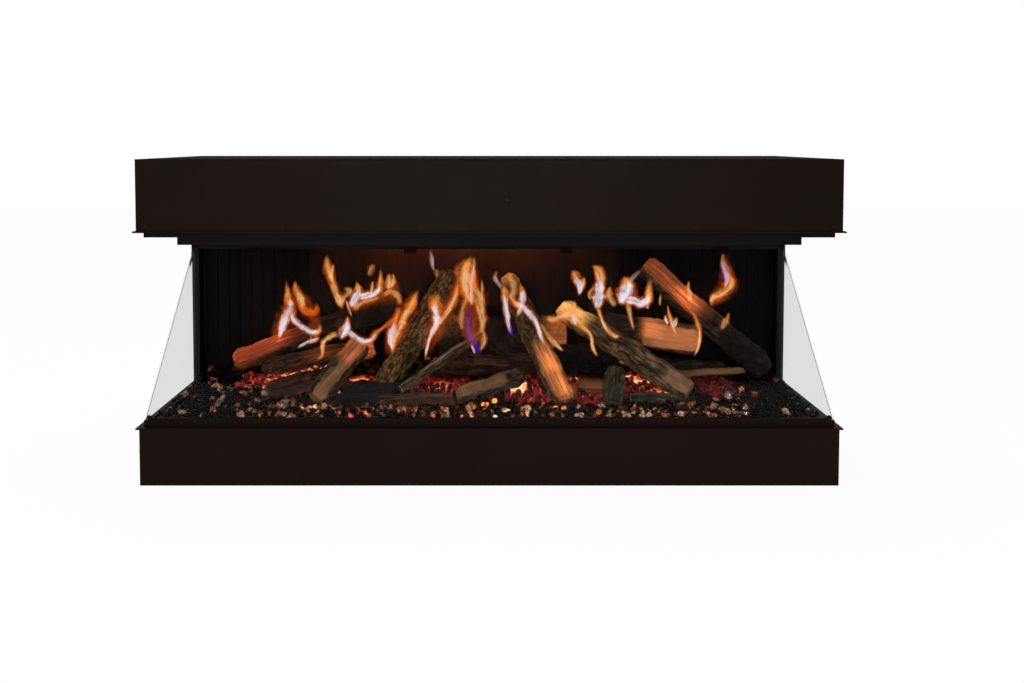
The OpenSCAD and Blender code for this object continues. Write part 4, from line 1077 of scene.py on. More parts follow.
# The lit spots of each log are painted firelight on the sides that face each spot's way.
LOGS = (
    LogPlan("log_back_left", "log_back_left", "split_log", (-480, 250, 137), (-179, 266, 252), 48, 42,
            Section.BARKED, RED_LIT, faces=(SplitFace((-0.1, -0.85, 0.5), 0.68, -0.1, 0.3),),
            lit=(Lit(-0.1, 0.5, (0, -0.35, 0.9), 1.0), Lit(-0.1, 0.3, (0, -0.8, 0.4), 0.4),
                 Lit(-0.1, 0.1, (-0.5, -0.8, -0.2), 0.5),
                 Lit(0.95, 1.3, (0.9, -0.2, 0.5), 0.5)),
            char=((0.62, 1.1, 1.0), (0.36, 0.66, 0.35)), relief=3.4, bow=4.0, worn=0.32),
    LogPlan("log_mid_left", "log_mid_left", "bark_log", (-412, 196, 138), (-214, 209, 183), 44, 40,
            Section.BARKED, BROWN, plate=(6.0, 45.0),
            lit=(Lit(0.3, 0.8, (0.1, -0.3, 0.9), 0.25), Lit(0.72, 1.3, (0.3, -0.8, 0.1), 1.5))),
    LogPlan("log_front_left", "log_front_left", "split_log", (-298, 82, 120), (-229, 152, 199), 46, 44,
            Section.SPLIT, GREYED, faces=(SplitFace((0.15, -0.9, 0.35), 0.74),),
            lit=(Lit(0.55, 1.12, (0, -0.6, 0.5), 0.65),), char=((0.88, 1.1, 0.4),)),
    LogPlan("log_leaning_left", "log_leaning_left", "bark_log", (-188, 144, 120), (-69, 262, 308), 50, 46,
            Section.BARKED, MOSSY, relief=4.2, plate=(8.5, 12.0),
            knots=(Knot(0.14, (-0.2, -0.9, 0.3), 8.0),)),
    LogPlan("log_stick", "log_stick", "bark_log", (-154, 110, 127), (-10, 206, 208), 20, 20,
            Section.HALF_ROUND, PALE_STICK, relief=1.2, bow=3.0,
            faces=(SplitFace((-0.4, -0.6, 0.65), 0.72, 0.02),)),
    LogPlan("log_front_low", "log_front_low", "charred_log", (-262, 80, 119), (-62, 80, 119), 26, 26,
            Section.HALF_ROUND, BROWN, faces=(SplitFace((0, -0.4, 0.9), 0.75, 0.3),), relief=1.8,
            char=((-0.1, 0.45, 0.75),)),
    LogPlan("log_back_centre", "log_back_centre", "charred_log", (-92, 248, 184), (146, 248, 182), 104, 70,
            Section.BARKED, CHARRED, char=((-0.1, 0.78, 0.6),), relief=5.5, bow=5.0, plate=(16.0, 34.0),
            lit=(Lit(-0.05, 0.34, (0, 0.1, 1), 0.3), Lit(0.78, 1.3, (0.2, -0.6, 0.7), 0.7))),
    LogPlan("log_low_centre", "log_low_centre", "charred_log", (-90, 205, 147), (105, 205, 147), 44, 42,
            Section.SPLIT, BROWN, char=((0.55, 1.1, 0.4),), relief=3.2, plate=(7.0, 60.0)),
    LogPlan("log_leaning_centre", "log_leaning_centre", "split_log", (132, 82, 117), (38, 262, 300), 50, 46,
            Section.SPLIT, HALF_BARE, faces=(SplitFace((0.15, -0.92, 0.4), 0.7, -0.1, 0.44),),
            knots=(Knot(0.62, (0.1, -0.9, 0.3), 7.0),), relief=3.6, plate=(9.0, 18.0),
            lit=(Lit(0.1, 0.46, (0.3, -0.8, 0.3), 1.5), Lit(-0.1, 0.5, (0.3, -0.8, 0.3), 0.75),
                 Lit(-0.2, 0.05, (0.2, -0.8, -0.5), 1.0), Lit(0.86, 1.3, (0, -0.5, 0.6), 0.7))),
    LogPlan("log_long_right", "log_long_right", "bark_log", (347, 96, 128), (136, 222, 251), 46, 44,
            Section.BARKED, RIDGED,
            faces=(SplitFace((-0.3, -0.5, 0.8), 0.6, 0.8), SplitFace((0.1, -0.85, 0.5), 0.66, -0.1, 0.2)),
            lit=(Lit(0.72, 1.3, (-0.3, -0.5, 0.7), 1.0),), relief=4.2, plate=(9.0, 30.0)),
    LogPlan("log_split_block", "log_split_block", "split_log", (214, 222, 214), (386, 192, 197), 60, 46,
            Section.SPLIT, TAN_FACE, faces=(SplitFace((0.1, -0.95, 0.1), 0.5, 0.4),),
            lit=(Lit(0.35, 0.75, (0, -0.7, 0.6), 0.7), Lit(0.45, 1.3, (0.1, -0.95, 0.1), 0.3)), relief=2.8,
            char=((-0.1, 0.3, 0.5),), plate=(9.0, 30.0)),
    LogPlan("log_back_right", "log_back_right", "split_log", (516, 213, 135), (301, 279, 322), 52, 44,
            Section.SPLIT, TAN, faces=(SplitFace((0.3, -0.9, 0.3), 0.74, 0.44),),
            knots=(Knot(0.42, (0, -1, 0.1), 8.0),),
            lit=(Lit(0.5, 0.86, (0.1, -0.8, 0.5), 1.1), Lit(0.5, 1.3, (0, -0.7, 0.6), 0.3)),
            char=((-0.1, 0.42, 0.55),), relief=3.0),
    LogPlan("kindling_dark_block", "kindling", "charred_log", (119, 215, 156), (231, 215, 150), 67, 56,
            Section.BARKED, CHARRED, char=((-0.1, 1.1, 0.7),), relief=4.5),
    LogPlan("kindling_dark_back", "kindling", "charred_log", (313, 222, 139), (439, 222, 134), 34, 30,
            Section.BARKED, CHARRED, char=((-0.1, 1.1, 0.5),)),
    LogPlan("kindling_brown_split", "kindling", "charred_log", (160, 138, 124), (206, 134, 122), 34, 26,
            Section.SPLIT, BROWN, faces=(SplitFace(FRONT_UP, 0.75),),
            lit=(Lit(0.2, 1.1, (0, -0.8, 0), 0.3),)),
    LogPlan("kindling_dark_half", "kindling", "charred_log", (246, 88, 119), (325, 88, 118), 22, 22,
            Section.HALF_ROUND, GREEN, relief=2.0),
    LogPlan("kindling_charred_left", "kindling", "charred_log", (-254, 122, 122), (-148, 122, 126), 32, 30,
            Section.BARKED, CHARRED, char=((-0.1, 1.1, 1.0),), relief=3.6),
    LogPlan("kindling_bark_left", "kindling", "charred_log", (-386, 106, 124), (-276, 146, 145), 38, 34,
            Section.BARKED, BROWN, lit=(Lit(0.1, 0.9, (0, 0.2, -1), 0.3),), plate=(7.0, 40.0)),
    LogPlan("kindling_wedge", "kindling", "charred_log", (-52, 92, 122), (60, 160, 138), 34, 30,
            Section.SPLIT, GREYED, faces=(SplitFace((-0.3, -0.8, 0.5), 0.66, -0.1, 0.75),),
            knots=(Knot(0.36, (-0.3, -0.8, 0.5), 5.0),), char=((0.8, 1.1, 0.4),)),
    LogPlan("kindling_upright", "kindling", "charred_log", (212, 80, 112), (222, 112, 164), 36, 38,
            Section.SPLIT, GREEN, relief=3.0, plate=(8.0, 22.0)),
    LogPlan("kindling_thin_stick", "kindling", "charred_log", (352, 194, 133), (473, 200, 138), 17, 14,
            Section.HALF_ROUND, GREYED, faces=(SplitFace(FRONT_UP, 0.45),), relief=0.6, bow=1.0),
)


END_INSETS = (0.0, 0.3, 0.55, 0.78, 0.93)


class Carving:
    """One log while it is carved: rings of points round its axis, and what has happened at each."""

    def __init__(self, plan: LogPlan, seed: int, around: int, spacing: float) -> None:
        """Lays out the rings of a log that has only its outline.

        Args:
            plan: the log.
            seed: picks its patterns.
            around: how many points a ring has.
            spacing: millimetres from ring to ring.
        """
        self.plan = plan
        self.seed = seed
        self.around = around
        run = np.array(plan.tip, float) - np.array(plan.foot, float)
        self.length = float(np.linalg.norm(run))
        self.along = run / self.length
        tilt = math.acos(run[2] / self.length)
        turn = math.atan2(run[1], run[0])
        level = math.cos(tilt)
        self.first = np.array([level * math.cos(turn), level * math.sin(turn), -math.sin(tilt)])
        self.second = np.array([-math.sin(turn), math.cos(turn), 0.0])
        rings = max(12, round(self.length / spacing))
        extra = len(END_INSETS)
        shares = np.concatenate([np.zeros(extra), np.linspace(0, 1, rings), np.ones(extra)])
        self.rows = len(shares)
        angle = np.arange(around) / around
        self.share, turns = [grid.ravel() for grid in np.meshgrid(shares, angle, indexing="ij")]
        self.inner = np.repeat(np.concatenate([END_INSETS, np.ones(rings), END_INSETS[::-1]]), around)
        self.radian = turns * 2 * math.pi
        round_x, round_y = np.cos(self.radian), np.sin(self.radian)
        outline = np.stack([round_x * plan.high / 2, round_y * plan.wide / 2], 1)
        self.flat = outline * plan.section.radius(turns)[:, None]
        self.size = np.linalg.norm(self.flat, axis=1)
        self.direction = self.flat / np.maximum(self.size, TINY)[:, None]
        self.place = np.stack([round_x * 25, round_y * 25, self.share * self.length], 1)
        self.wood = np.zeros(len(self.share))
        self.char = np.zeros(len(self.share))

    def split(self) -> None:
        """Cuts the flat faces where wood has split away."""
        for face in self.plan.faces:
            facing = unit(face.facing)
            across = np.array([facing @ self.first, facing @ self.second])
            across /= np.linalg.norm(across)
            reach = face.depth * min(self.plan.high, self.plan.wide) / 2
            toward = (self.flat @ across) / np.maximum(self.size, TINY)
            active = smooth(face.start, face.start + 0.06, self.share)
            active = active * smooth(face.end, face.end - 0.06, self.share)
            path = np.stack([self.share * 5, toward, self.share * 0], 1)
            wander = 1 + 0.05 * fractal(path, self.seed + 50, 2)
            limit = reach * wander / np.maximum(toward, 1e-3)
            cut = (toward > 0.05) & (limit < self.size)
            new = np.where(cut, limit, self.size)
            self.wood = np.maximum(self.wood, active * smooth(0.3, 1.5, self.size - new))
            self.size = self.size + (new - self.size) * active

    def burn(self) -> None:
        """Chars the stretches that have burnt."""
        for start, end, power in self.plan.char:
            level = smooth(start, start + 0.12, self.share) * smooth(end, end - 0.12, self.share) * power
            self.char = np.maximum(self.char, level)

    def texture(self) -> tuple[np.ndarray, np.ndarray]:
        """Relief of bark, split wood and char.

        Returns:
            Height in millimetres and depth of cracks from 0 to 1 at each point.
        """
        place, seed, plan = self.place, self.seed, self.plan
        bend = np.stack([fractal(place / 24.0, seed + 3 * k, 2) for k in range(3)], 1)
        bent = place + bend * (3.0, 3.0, 9.0)
        across, run = plan.plate
        ridges = 1 - np.abs(fractal(bent / (0.7 * across, 0.7 * across, 1.3 * run), seed, 3)) * 1.6
        plates = smooth(0.0, 0.34, cells(bent / (across, across, run), seed + 9))
        fine = fractal(place / 3.0, seed + 15, 2)
        lumps = fractal(place / 30.0, seed + 20, 3)
        blocks = smooth(0.0, 0.25, cells(bent / (11.0, 11.0, 14.0), seed + 31))
        streaks = lattice(place / (2.2, 2.2, 60.0), seed + 40)
        bark = plan.relief * (0.5 * ridges + 0.55 * plates + 0.2 * fine - 0.9)
        burnt = plan.relief * (0.8 * blocks - 0.8 + 0.9 * lumps + 0.2 * fine)
        height = bark * (1 - self.wood) * (1 - self.char * 0.7) + burnt * self.char
        height += streaks * 0.35 * self.wood
        height += lumps * 0.05 * plan.wide * (1 - self.wood)
        gaps = np.clip((1 - plates) * 0.8 + smooth(0.55, 0.1, ridges) * 0.6, 0, 1)
        return height, gaps * (1 - 0.7 * self.wood)

    def knots(self, height: np.ndarray, crack: np.ndarray) -> tuple[np.ndarray, np.ndarray]:
        """Adds the knots, each a rim about a hollow.

        Args:
            height: relief in millimetres at each point.
            crack: depth of cracks at each point.

        Returns:
            Both, with the knots in them.
        """
        for knot in self.plan.knots:
            facing = unit(knot.facing)
            way = math.atan2(facing @ self.second, facing @ self.first)
            off_turn = (self.radian - way + math.pi) % (2 * math.pi) - math.pi
            off_along = (self.share - knot.along) * self.length
            far = np.hypot(off_turn * self.size, off_along) / knot.radius
            height += 2.2 * np.exp(-((far - 1) ** 2) * 5) - 1.6 * np.exp(-(far**2) * 4)
            crack = np.clip(crack + np.exp(-((far - 0.55) ** 2) * 30), 0, 1)
        return height, crack

    def heat(self, normal: np.ndarray) -> np.ndarray:
        """Paints firelight on the plan's lit spots, on the side of the log that faces each spot's way.

        Args:
            normal: the way that each point faces.

        Returns:
            How strongly each point is lit.
        """
        lit = np.zeros(len(self.share))
        for spot in self.plan.lit:
            level = smooth(spot.start, spot.start + 0.14, self.share)
            level = level * smooth(spot.end, spot.end - 0.25, self.share)
            lit = np.maximum(lit, level * smooth(0.1, 0.9, normal @ unit(spot.facing)) * spot.power)
        return lit

    def mesh(self) -> tuple[np.ndarray, list, dict[str, np.ndarray]]:
        """Carves the log.

        Returns:
            Its points as [x, d, z] in millimetres, its faces, and the values stored on its points.
        """
        plan, seed, share, inner = self.plan, self.seed, self.share, self.inner
        self.split()
        self.burn()
        height, crack = self.knots(*self.texture())
        raised = np.clip(0.5 + height / (2.2 * plan.relief), 0, 1)
        from_end = np.minimum(share, 1 - share) * self.length
        rounded = 1 - plan.worn * (1 - smooth(0, 13, from_end)) ** 2
        self.size = np.maximum(self.size + height, 1.0) * inner * rounded
        ends = (inner < 1).astype(float)
        sag = np.sin(share * math.pi) * plan.bow
        local = self.direction * self.size[:, None]
        out_of_end = np.where(share > 0.5, 1, -1) * ends
        rough_end = fractal(np.stack([local[:, 0], local[:, 1], share * 90], 1) / 7.0, seed + 60, 3)
        step = share * self.length
        step = step + out_of_end * (1.0 + rough_end * (1.2 + 2.5 * self.char) - 1.8 * (1 - inner))
        side = fractal(np.stack([share * 2.2, share * 0, share * 0 + 0.5], 1), seed + 70, 2) * plan.bow
        points = (
            np.array(plan.foot, float)
            + (local[:, :1] + side[:, None]) * self.first
            + (local[:, 1:] + sag[:, None] * 0.4) * self.second
            + step[:, None] * self.along
        )
        normal = self.direction[:, :1] * self.first + self.direction[:, 1:] * self.second
        normal = normal * inner[:, None] + (1 - inner[:, None]) * out_of_end[:, None] * self.along
        wood = np.maximum(self.wood, ends * (1 - self.char))
        grain = np.concatenate([local, (share * self.length)[:, None]], 1) * MM + seed * 0.37
        worn = np.stack([wood, self.char, crack * (1 - ends), raised], 1)
        return points, self.faces(), {"grain": grain, "worn": worn, "lit": self.heat(normal)}

    def faces(self) -> list[tuple[int, int, int, int]]:
        """Lays the faces between the rings.

        Returns:
            Corner numbers of every face.
        """
        faces = []
        for row in range(self.rows - 1):
            base, over = row * self.around, (row + 1) * self.around
            for k in range(self.around):
                nxt = (k + 1) % self.around
                faces.append((base + k, base + nxt, over + nxt, over + k))
        return faces


@dataclass
class LogPile:
    """The imitation logs, each carved from its plan and lying where its CAD solid lies."""

    box: Firebox
    plans: tuple[LogPlan, ...] = LOGS
    around: int = 88
    spacing: float = 2.3
    gap: float = 0.4
    first_seed: int = 100
    seed_step: int = 13

    def settle(self, points: np.ndarray) -> np.ndarray:
        """Keeps a log clear of what is round it.

        Args:
            points: its points as [x, d, z] in millimetres.

        Returns:
            The points, above the bed, in front of the back wall and behind the pane.
        """
        x, d, z = points.T.copy()
        z = np.maximum(z, self.box.bed_height(x, d) + self.gap)
        d = np.minimum(d, self.box.wall_d - self.gap)
        over = np.maximum(z - (d + self.box.pane_rise - self.box.pane_thick - 1.5), 0)
        d, z = d + over / 2, z - over / 2
        return np.stack([x, d, z], 1)

    def build(self, dresser: Dresser) -> None:
        """Makes every log.

        Args:
            dresser: makes and dresses the pieces.
        """
        for number, plan in enumerate(self.plans):
            carving = Carving(plan, self.first_seed + self.seed_step * number, self.around, self.spacing)
            points, faces, values = carving.mesh()
            points = self.box.world(self.settle(points))
            dresser.piece(f"{plan.piece}_carved", points, faces, plan.finish, plan.slot, (plan.node,), values)

    def clearance(self, x: float, d: float, z: float) -> float:
        """How far a place is from the logs.

        Args:
            x: along the width.
            d: behind the front face.
            z: height.

        Returns:
            Distance from the nearest log's surface in millimetres, less than 0 inside one.
        """
        spot = np.array([x, d, z])
        near = 1e9
        for plan in self.plans:
            foot, tip = np.array(plan.foot, float), np.array(plan.tip, float)
            run = tip - foot
            share = np.clip((spot - foot) @ run / (run @ run), 0, 1)
            near = min(near, float(np.linalg.norm(spot - foot - share * run)) - max(plan.high, plan.wide) / 2)
        return near


# Where the bed lies bare and glows: middle, depth, half width and half depth of each oval.
OPENINGS = (
    (259, 202, 16, 13), (280, 181, 21, 14), (298, 137, 20, 11), (155, 200, 9, 12), (52, 165, 22, 42),
    (-92, 167, 24, 13), (-347, 205, 16, 18), (-313, 236, 15, 12), (-238, 186, 24, 17), (-396, 160, 11, 16),
)


@dataclass(frozen=True)
class Heap:
    """Crumbs with painted glow that fill the gap between two logs, up to a sloping top line."""

    left: float
    right: float
    near: float
    far: float
    tops: tuple[float, float]


class Medium(Enum):
    """What lies on the bed."""

    CRYSTAL = "glass_crystals"
    COAL = "coal_chips"
    BEAD = "ember_beads"


@dataclass(frozen=True)
class Zone:
    """A part of the bed from its front edge back, and the share of crystals there."""

    left: float
    right: float
    far: float
    share: float


@dataclass
class Stock:
    """Mesh data of all of one kind: points by piece, faces, and two colours for each point."""

    points: list = field(default_factory=list)
    faces: list = field(default_factory=list)
    tint: list = field(default_factory=list)
    lit: list = field(default_factory=list)
    count: int = 0


@dataclass
class BedMedia:
    """Crushed glass, black chips and red beads, strewn over the moulded bed of embers between the logs, with
    painted glow and painted glints.
    """

    box: Firebox
    logs: LogPile
    seed: int = 7
    pitch: float = 8.0
    bead_pitch: float = 10.4
    bead_radius: float = 5.0
    bead_share: float = 0.84
    filled_share: float = 0.9
    patches: tuple[tuple[float, float, float, float], ...] = (
        (-455, -404, 150, 218), (-392, -290, 158, 215), (-262, -212, 160, 206), (-140, -30, 118, 192),
        (30, 116, 84, 204), (146, 208, 66, 214), (232, 325, 105, 222), (372, 440, 108, 196))
    heaps: tuple[Heap, ...] = (Heap(-398, -270, 134, 184, (133.0, 156.0)),)
    crumb_pitch: float = 7.5
    # Spots of painted light at the front of the bed, as middle x, d and reach; they also hold more crystals.
    lit_spots: tuple[tuple[float, float, float], ...] = ((-347, 80, 17), (-300, 72, 22))
    spot_share: float = 0.75
    zones: tuple[Zone, ...] = (Zone(-430, 430, 70, 0.3), Zone(-600, 600, 70, 0.06),
                               Zone(-500, -395, 170, 0.17), Zone(330, 480, 140, 0.17))
    sparse_share: float = 0.02
    # The painted glow fades out from the middle over this distance; beyond dim_beyond the crystals' painted
    # glow is weak.
    painted_glow_reach: float = 470.0
    dim_beyond: float = 340.0
    stock: dict[Medium, Stock] = field(default_factory=dict)

    def lit_spot_level(self, x: float, d: float) -> float:
        """How far a place lies inside a spot of painted light, from 0 to 1."""
        return max(1 - math.hypot(x - left, d - deep) / reach for left, deep, reach in self.lit_spots)

    def crystal_share(self, x: float, d: float) -> float:
        """Finds the share of crystals among the chips at a place.

        Args:
            x: along the width.
            d: behind the front face.

        Returns:
            The share from 0 to 1.
        """
        if self.lit_spot_level(x, d) > 0:
            return self.spot_share
        inside = (zone.share for zone in self.zones if zone.left < x < zone.right and d < zone.far)
        return next(inside, self.sparse_share)

    def kind_at(self, x: float, d: float, rng: random.Random) -> Medium | None:
        """Chooses what lies at a place.

        Args:
            x: along the width.
            d: behind the front face.
            rng: the random draws.

        Returns:
            The kind, or None for bare glowing bed.
        """
        draw = rng.random()
        for middle, deep, half, reach in OPENINGS:
            if ((x - middle) / half) ** 2 + ((d - deep) / reach) ** 2 < 0.8:
                return None
        if not self.bead_here(x, d):
            return Medium.CRYSTAL if draw < self.crystal_share(x, d) else Medium.COAL
        if draw < self.bead_share:
            return Medium.BEAD
        return Medium.COAL if draw < self.filled_share else None

    def bead_here(self, x: float, d: float) -> bool:
        """True in the patches that hold beads."""
        return any(left < x < right and near < d < far for left, right, near, far in self.patches)

    def shard(self, rng: random.Random, radius: float, flat: float) -> tuple[np.ndarray, list]:
        """A chip of broken glass: a lump cut by random planes.

        Args:
            rng: the random draws.
            radius: its size.
            flat: its height as a share of its width.

        Returns:
            Points about its middle, and faces.
        """
        points, faces = self.ball(4, 6)
        size = np.ones(len(points))
        for _ in range(6):
            way = np.array([rng.gauss(0, 1) for _ in range(3)])
            way /= np.linalg.norm(way)
            limit = rng.uniform(0.25, 0.7)
            toward = points @ way
            size = np.where(toward * size > limit, limit / np.maximum(toward, 1e-3), size)
        wide = radius * rng.uniform(0.8, 1.3)
        deep = radius * rng.uniform(0.7, 1.1)
        points = points * size[:, None] * (wide, deep, radius * flat)
        spin = Euler((rng.uniform(-0.6, 0.6), rng.uniform(-0.6, 0.6), rng.uniform(0, 6.28))).to_matrix()
        return points @ np.array(spin).T, faces

    @staticmethod
    def ball(rows: int, columns: int) -> tuple[np.ndarray, list]:
        """Shapes a ball of radius 1.

        Args:
            rows: how many bands it has from top to bottom.
            columns: how many sides it has.

        Returns:
            Points about its middle, and faces.
        """
        points = [(0.0, 0.0, 1.0)]
        for r in range(1, rows):
            for c in range(columns):
                a, b = math.pi * r / rows, 2 * math.pi * c / columns
                points.append((math.sin(a) * math.cos(b), math.sin(a) * math.sin(b), math.cos(a)))
        points.append((0.0, 0.0, -1.0))
        last = len(points) - 1
        faces = [(0, 1 + c, 1 + (c + 1) % columns) for c in range(columns)]
        for r in range(rows - 2):
            for c in range(columns):
                low, nxt = 1 + r * columns, (c + 1) % columns
                faces.append((low + c, low + columns + c, low + columns + nxt, low + nxt))
        base = 1 + (rows - 2) * columns
        faces += [(last, base + (c + 1) % columns, base + c) for c in range(columns)]
        return np.array(points), faces

    def tint(self, kind: Medium, x: float, d: float, rng: random.Random) -> tuple[Colour, Colour]:
        """Chooses the colour of a chip or bead.

        Args:
            kind: what it is.
            x: its place along the width.
            d: its place behind the front face.
            rng: the random draws.

        Returns:
            Its colour, and that of its painted glow and glints.
        """
        # Painted glow from the bed below: strongest in the middle and at the front, and more in the lit
        # spots.
        heat = max(0.0, 1 - abs(x) / self.painted_glow_reach) * (1.0 if d < 110 else 0.6)
        heat += max(0.0, 1.6 * self.lit_spot_level(x, d))
        if kind is Medium.BEAD:
            # Beads: painted glow, mostly faint, weaker on the right.
            power = (0.8 * rng.random() ** 3.4 + 0.03) * (0.35 if x > 350 else 1.0)
            deep = rng.uniform(0.1, 1.0) ** 1.5
            return (0.05 * deep, 0.0012, 0.002), (0.34 * power, 0.012 * power, 0.012 * power)
        if kind is Medium.COAL:
            grey = rng.uniform(0.0006, 0.0035)
            # Coal: some chips get a faint painted glint.
            painted_glint = 0.09 * rng.random() if rng.random() < 0.3 else 0.0
            return (grey * 1.35, grey, grey * 0.7), (painted_glint * heat, painted_glint * 0.25 * heat, 0.0)
        tone = rng.random()
        # Crystals: painted glow with a few bright painted glints, weak beyond dim_beyond.
        power = 0.05 + 0.6 * rng.random() ** 2.5
        power += 0.9 if rng.random() < 0.05 else 0.0
        power = (0.1 + 0.9 * heat) * power * 0.85
        if abs(x) > self.dim_beyond:
            power = 0.08 * rng.random()
        if tone < 0.35:
            return (0.80, 0.70, 0.58), (power * 0.9, power * 0.48, power * 0.2)
        if tone < 0.8:
            return (0.55, 0.27, 0.12), (power * 1.2, power * 0.33, power * 0.06)
        return (0.40, 0.16, 0.10), (power, power * 0.13, power * 0.02)

    def strew(self) -> None:
        """Places every chip and bead and keeps its mesh data by kind."""
        rng = random.Random(self.seed)
        self.stock = {kind: Stock() for kind in Medium}
        half = self.box.bed_half + 8
        for pitch, beads in ((self.pitch, False), (self.bead_pitch, True)):
            for row in np.arange(self.box.bed_front + 5, self.box.bed_back - 6, pitch):
                for column in np.arange(-half, half, pitch):
                    x = float(np.clip(column + rng.uniform(-0.3, 0.3) * pitch, -half, half))
                    d = float(row + rng.uniform(-0.28, 0.28) * pitch)
                    kind = self.kind_at(x, d, rng)
                    if kind is not None and self.bead_here(x, d) == beads:
                        self.lay(kind, x, d, rng)
        self.pile_up(rng)

    def lay(self, kind: Medium, x: float, d: float, rng: random.Random) -> None:
        """Lays one chip or bead on the bed or the rim, where no post or log is in its way.

        Args:
            kind: what it is.
            x: its place along the width.
            d: its place behind the front face.
            rng: the random draws.
        """
        on_rim = abs(x) > self.box.bed_half + 1
        if on_rim and d > self.box.post_front - 6:
            return
        ground = self.box.rim_z if on_rim else self.box.ground(x, d)
        radius = {Medium.BEAD: self.bead_radius, Medium.COAL: rng.triangular(4.5, 10.5, 6.5),
                  Medium.CRYSTAL: rng.triangular(4.0, 9.5 if abs(x) < 380 else 13.0, 6.0)}[kind]
        radius = min(radius, (self.box.side_pane - 1 - abs(x)) / 1.3, 5.5 if abs(x) > 540 else 20.0)
        if self.logs.clearance(x, d, ground + 5) > -radius * 0.4:
            self.drop(kind, (x, d, ground), radius, rng)

    def pile_up(self, rng: random.Random) -> None:
        """Fills each heap from the bed up to its top line with crumbs that have painted glow.

        Args:
            rng: the random draws.
        """
        for heap in self.heaps:
            for x in np.arange(heap.left, heap.right, self.crumb_pitch):
                top = float(np.interp(x, (heap.left, heap.right), heap.tops))
                for d in np.arange(heap.near, heap.far, self.crumb_pitch):
                    for z in np.arange(self.box.ground(x, d), top, self.crumb_pitch * 0.9):
                        place = x + rng.uniform(-2, 2), d + rng.uniform(-2, 2), z
                        if self.logs.clearance(*place[:2], z + 4) > 1:
                            self.drop(Medium.BEAD, place, rng.uniform(5, 7), rng, True)

    def drop(self, kind: Medium, place: Place, radius: float, rng: random.Random, hot: bool = False) -> None:
        """Adds one chip or bead, or one crumb with painted glow, to the mesh data of its kind.

        Args:
            kind: what it is.
            place: the spot that it lies on, as x, d and z.
            radius: its size.
            rng: the random draws.
            hot: True for a crumb with painted glow.
        """
        if kind is Medium.BEAD and not hot:
            points, faces = self.ball(8, 12)
            points = points * radius * rng.uniform(0.85, 1.08)
        else:
            points, faces = self.shard(rng, radius, 0.75 if kind is Medium.CRYSTAL else 0.62)
        x, d, ground = place
        lift = ground - float(points[:, 2].min()) + (rng.uniform(0, 2.5) if kind is not Medium.BEAD else 0.2)
        points = points + (x, d, lift)
        base, light = self.tint(kind, x, d, rng)
        # A crumb's painted glow.
        if hot:
            glow = rng.random()
            light = (1.0 * glow ** 1.4 + 0.03, 0.5 * glow ** 3.2 + 0.002, 0.16 * glow ** 3.6 + 0.002)
        pile = self.stock[kind]
        start = len(pile.tint)
        pile.faces += [tuple(start + i for i in face) for face in faces]
        pile.points.append(points)
        pile.tint += [(*base, 1.0)] * len(points)
        for _ in points:
            # Crystals: painted glints that differ from point to point.
            share = 3.4 * rng.random() ** 3 if kind is Medium.CRYSTAL else 1.0
            pile.lit.append((*(c * share for c in light), 1.0))
        pile.count += 1

    def build(self, dresser: Dresser) -> None:
        """Makes one piece of each kind.

        Args:
            dresser: makes and dresses the pieces.
        """
        self.strew()
        finishes = {
            Medium.CRYSTAL: (Shards("crushed_glass", 0.05, 0.93, 0.8, 0.5), "crystal_glass"),
            Medium.COAL: (Shards("black_glass_chips", 0.36, 0.0, 1.0, 0.014), "black_chip"),
            Medium.BEAD: (Shards("red_glass_beads", 0.09, 0.0, 1.0, 0.22), "red_bead"),
        }
        for kind, (finish, slot) in finishes.items():
            pile = self.stock[kind]
            points = self.box.world(np.concatenate(pile.points))
            values = {"tint": np.array(pile.tint), "lit": np.array(pile.lit)}
            dresser.piece(
                f"{kind.value}_strewn", points, pile.faces, finish, slot, (kind.value,), values,
                kind is Medium.BEAD)
            LOG.info("%s: %d strewn", kind.value, pile.count)


@dataclass(frozen=True)
class Viewpoint:
    """The main view: where the eye is, how far it looks down, and the frame's middle, in pixels."""

    x: float = -11.0
    d: float = -1430.0
    z: float = 562.7
    pitch: float = 0.0432
    focal: float = 888.0
    middle: tuple[float, float] = (482.6, 179.8)
    frame_size: tuple[int, int] = (1024, 683)

    def ray(self, u: float, v: float) -> np.ndarray:
        """Finds the line of sight through a point of the frame.

        Args:
            u: pixels from the frame's left edge.
            v: pixels from its top.

        Returns:
            Its direction in [x, d, z].
        """
        side = (u - self.middle[0]) / self.focal
        up = -(v - self.middle[1]) / self.focal
        cos, sin = math.cos(self.pitch), math.sin(self.pitch)
        return np.array([side, cos + up * sin, up * cos - sin])

    def on_slope(self, u: float, v: float, rise: float) -> np.ndarray:
        """Finds where the line of sight meets the slope of height d + rise.

        Args:
            u: pixels from the frame's left edge.
            v: pixels from its top.
            rise: height of the slope at the front face.

        Returns:
            The place as [x, d, z].
        """
        way = self.ray(u, v)
        reach = (self.d + rise - self.z) / (way[2] - way[1])
        return np.array([self.x, self.d, self.z]) + way * reach

    def camera(self) -> bpy.types.Object:
        """Makes the camera.

        Returns:
            The camera, which the scene now looks through.
        """
        data = bpy.data.cameras.new("main_view")
        data.sensor_width = 36.0
        data.lens = self.focal / self.frame_size[0] * data.sensor_width
        data.shift_x = (self.frame_size[0] / 2 - self.middle[0]) / self.frame_size[0]
        data.shift_y = (self.middle[1] - self.frame_size[1] / 2) / self.frame_size[0]
        made = bpy.data.objects.new("main_view", data)
        made.location = Vector((self.x, self.d + Firebox().front_y, self.z)) * MM
        made.rotation_euler = Euler((math.pi / 2 - self.pitch, 0, 0))
        bpy.context.scene.collection.objects.link(made)
        bpy.context.scene.camera = made
        return made


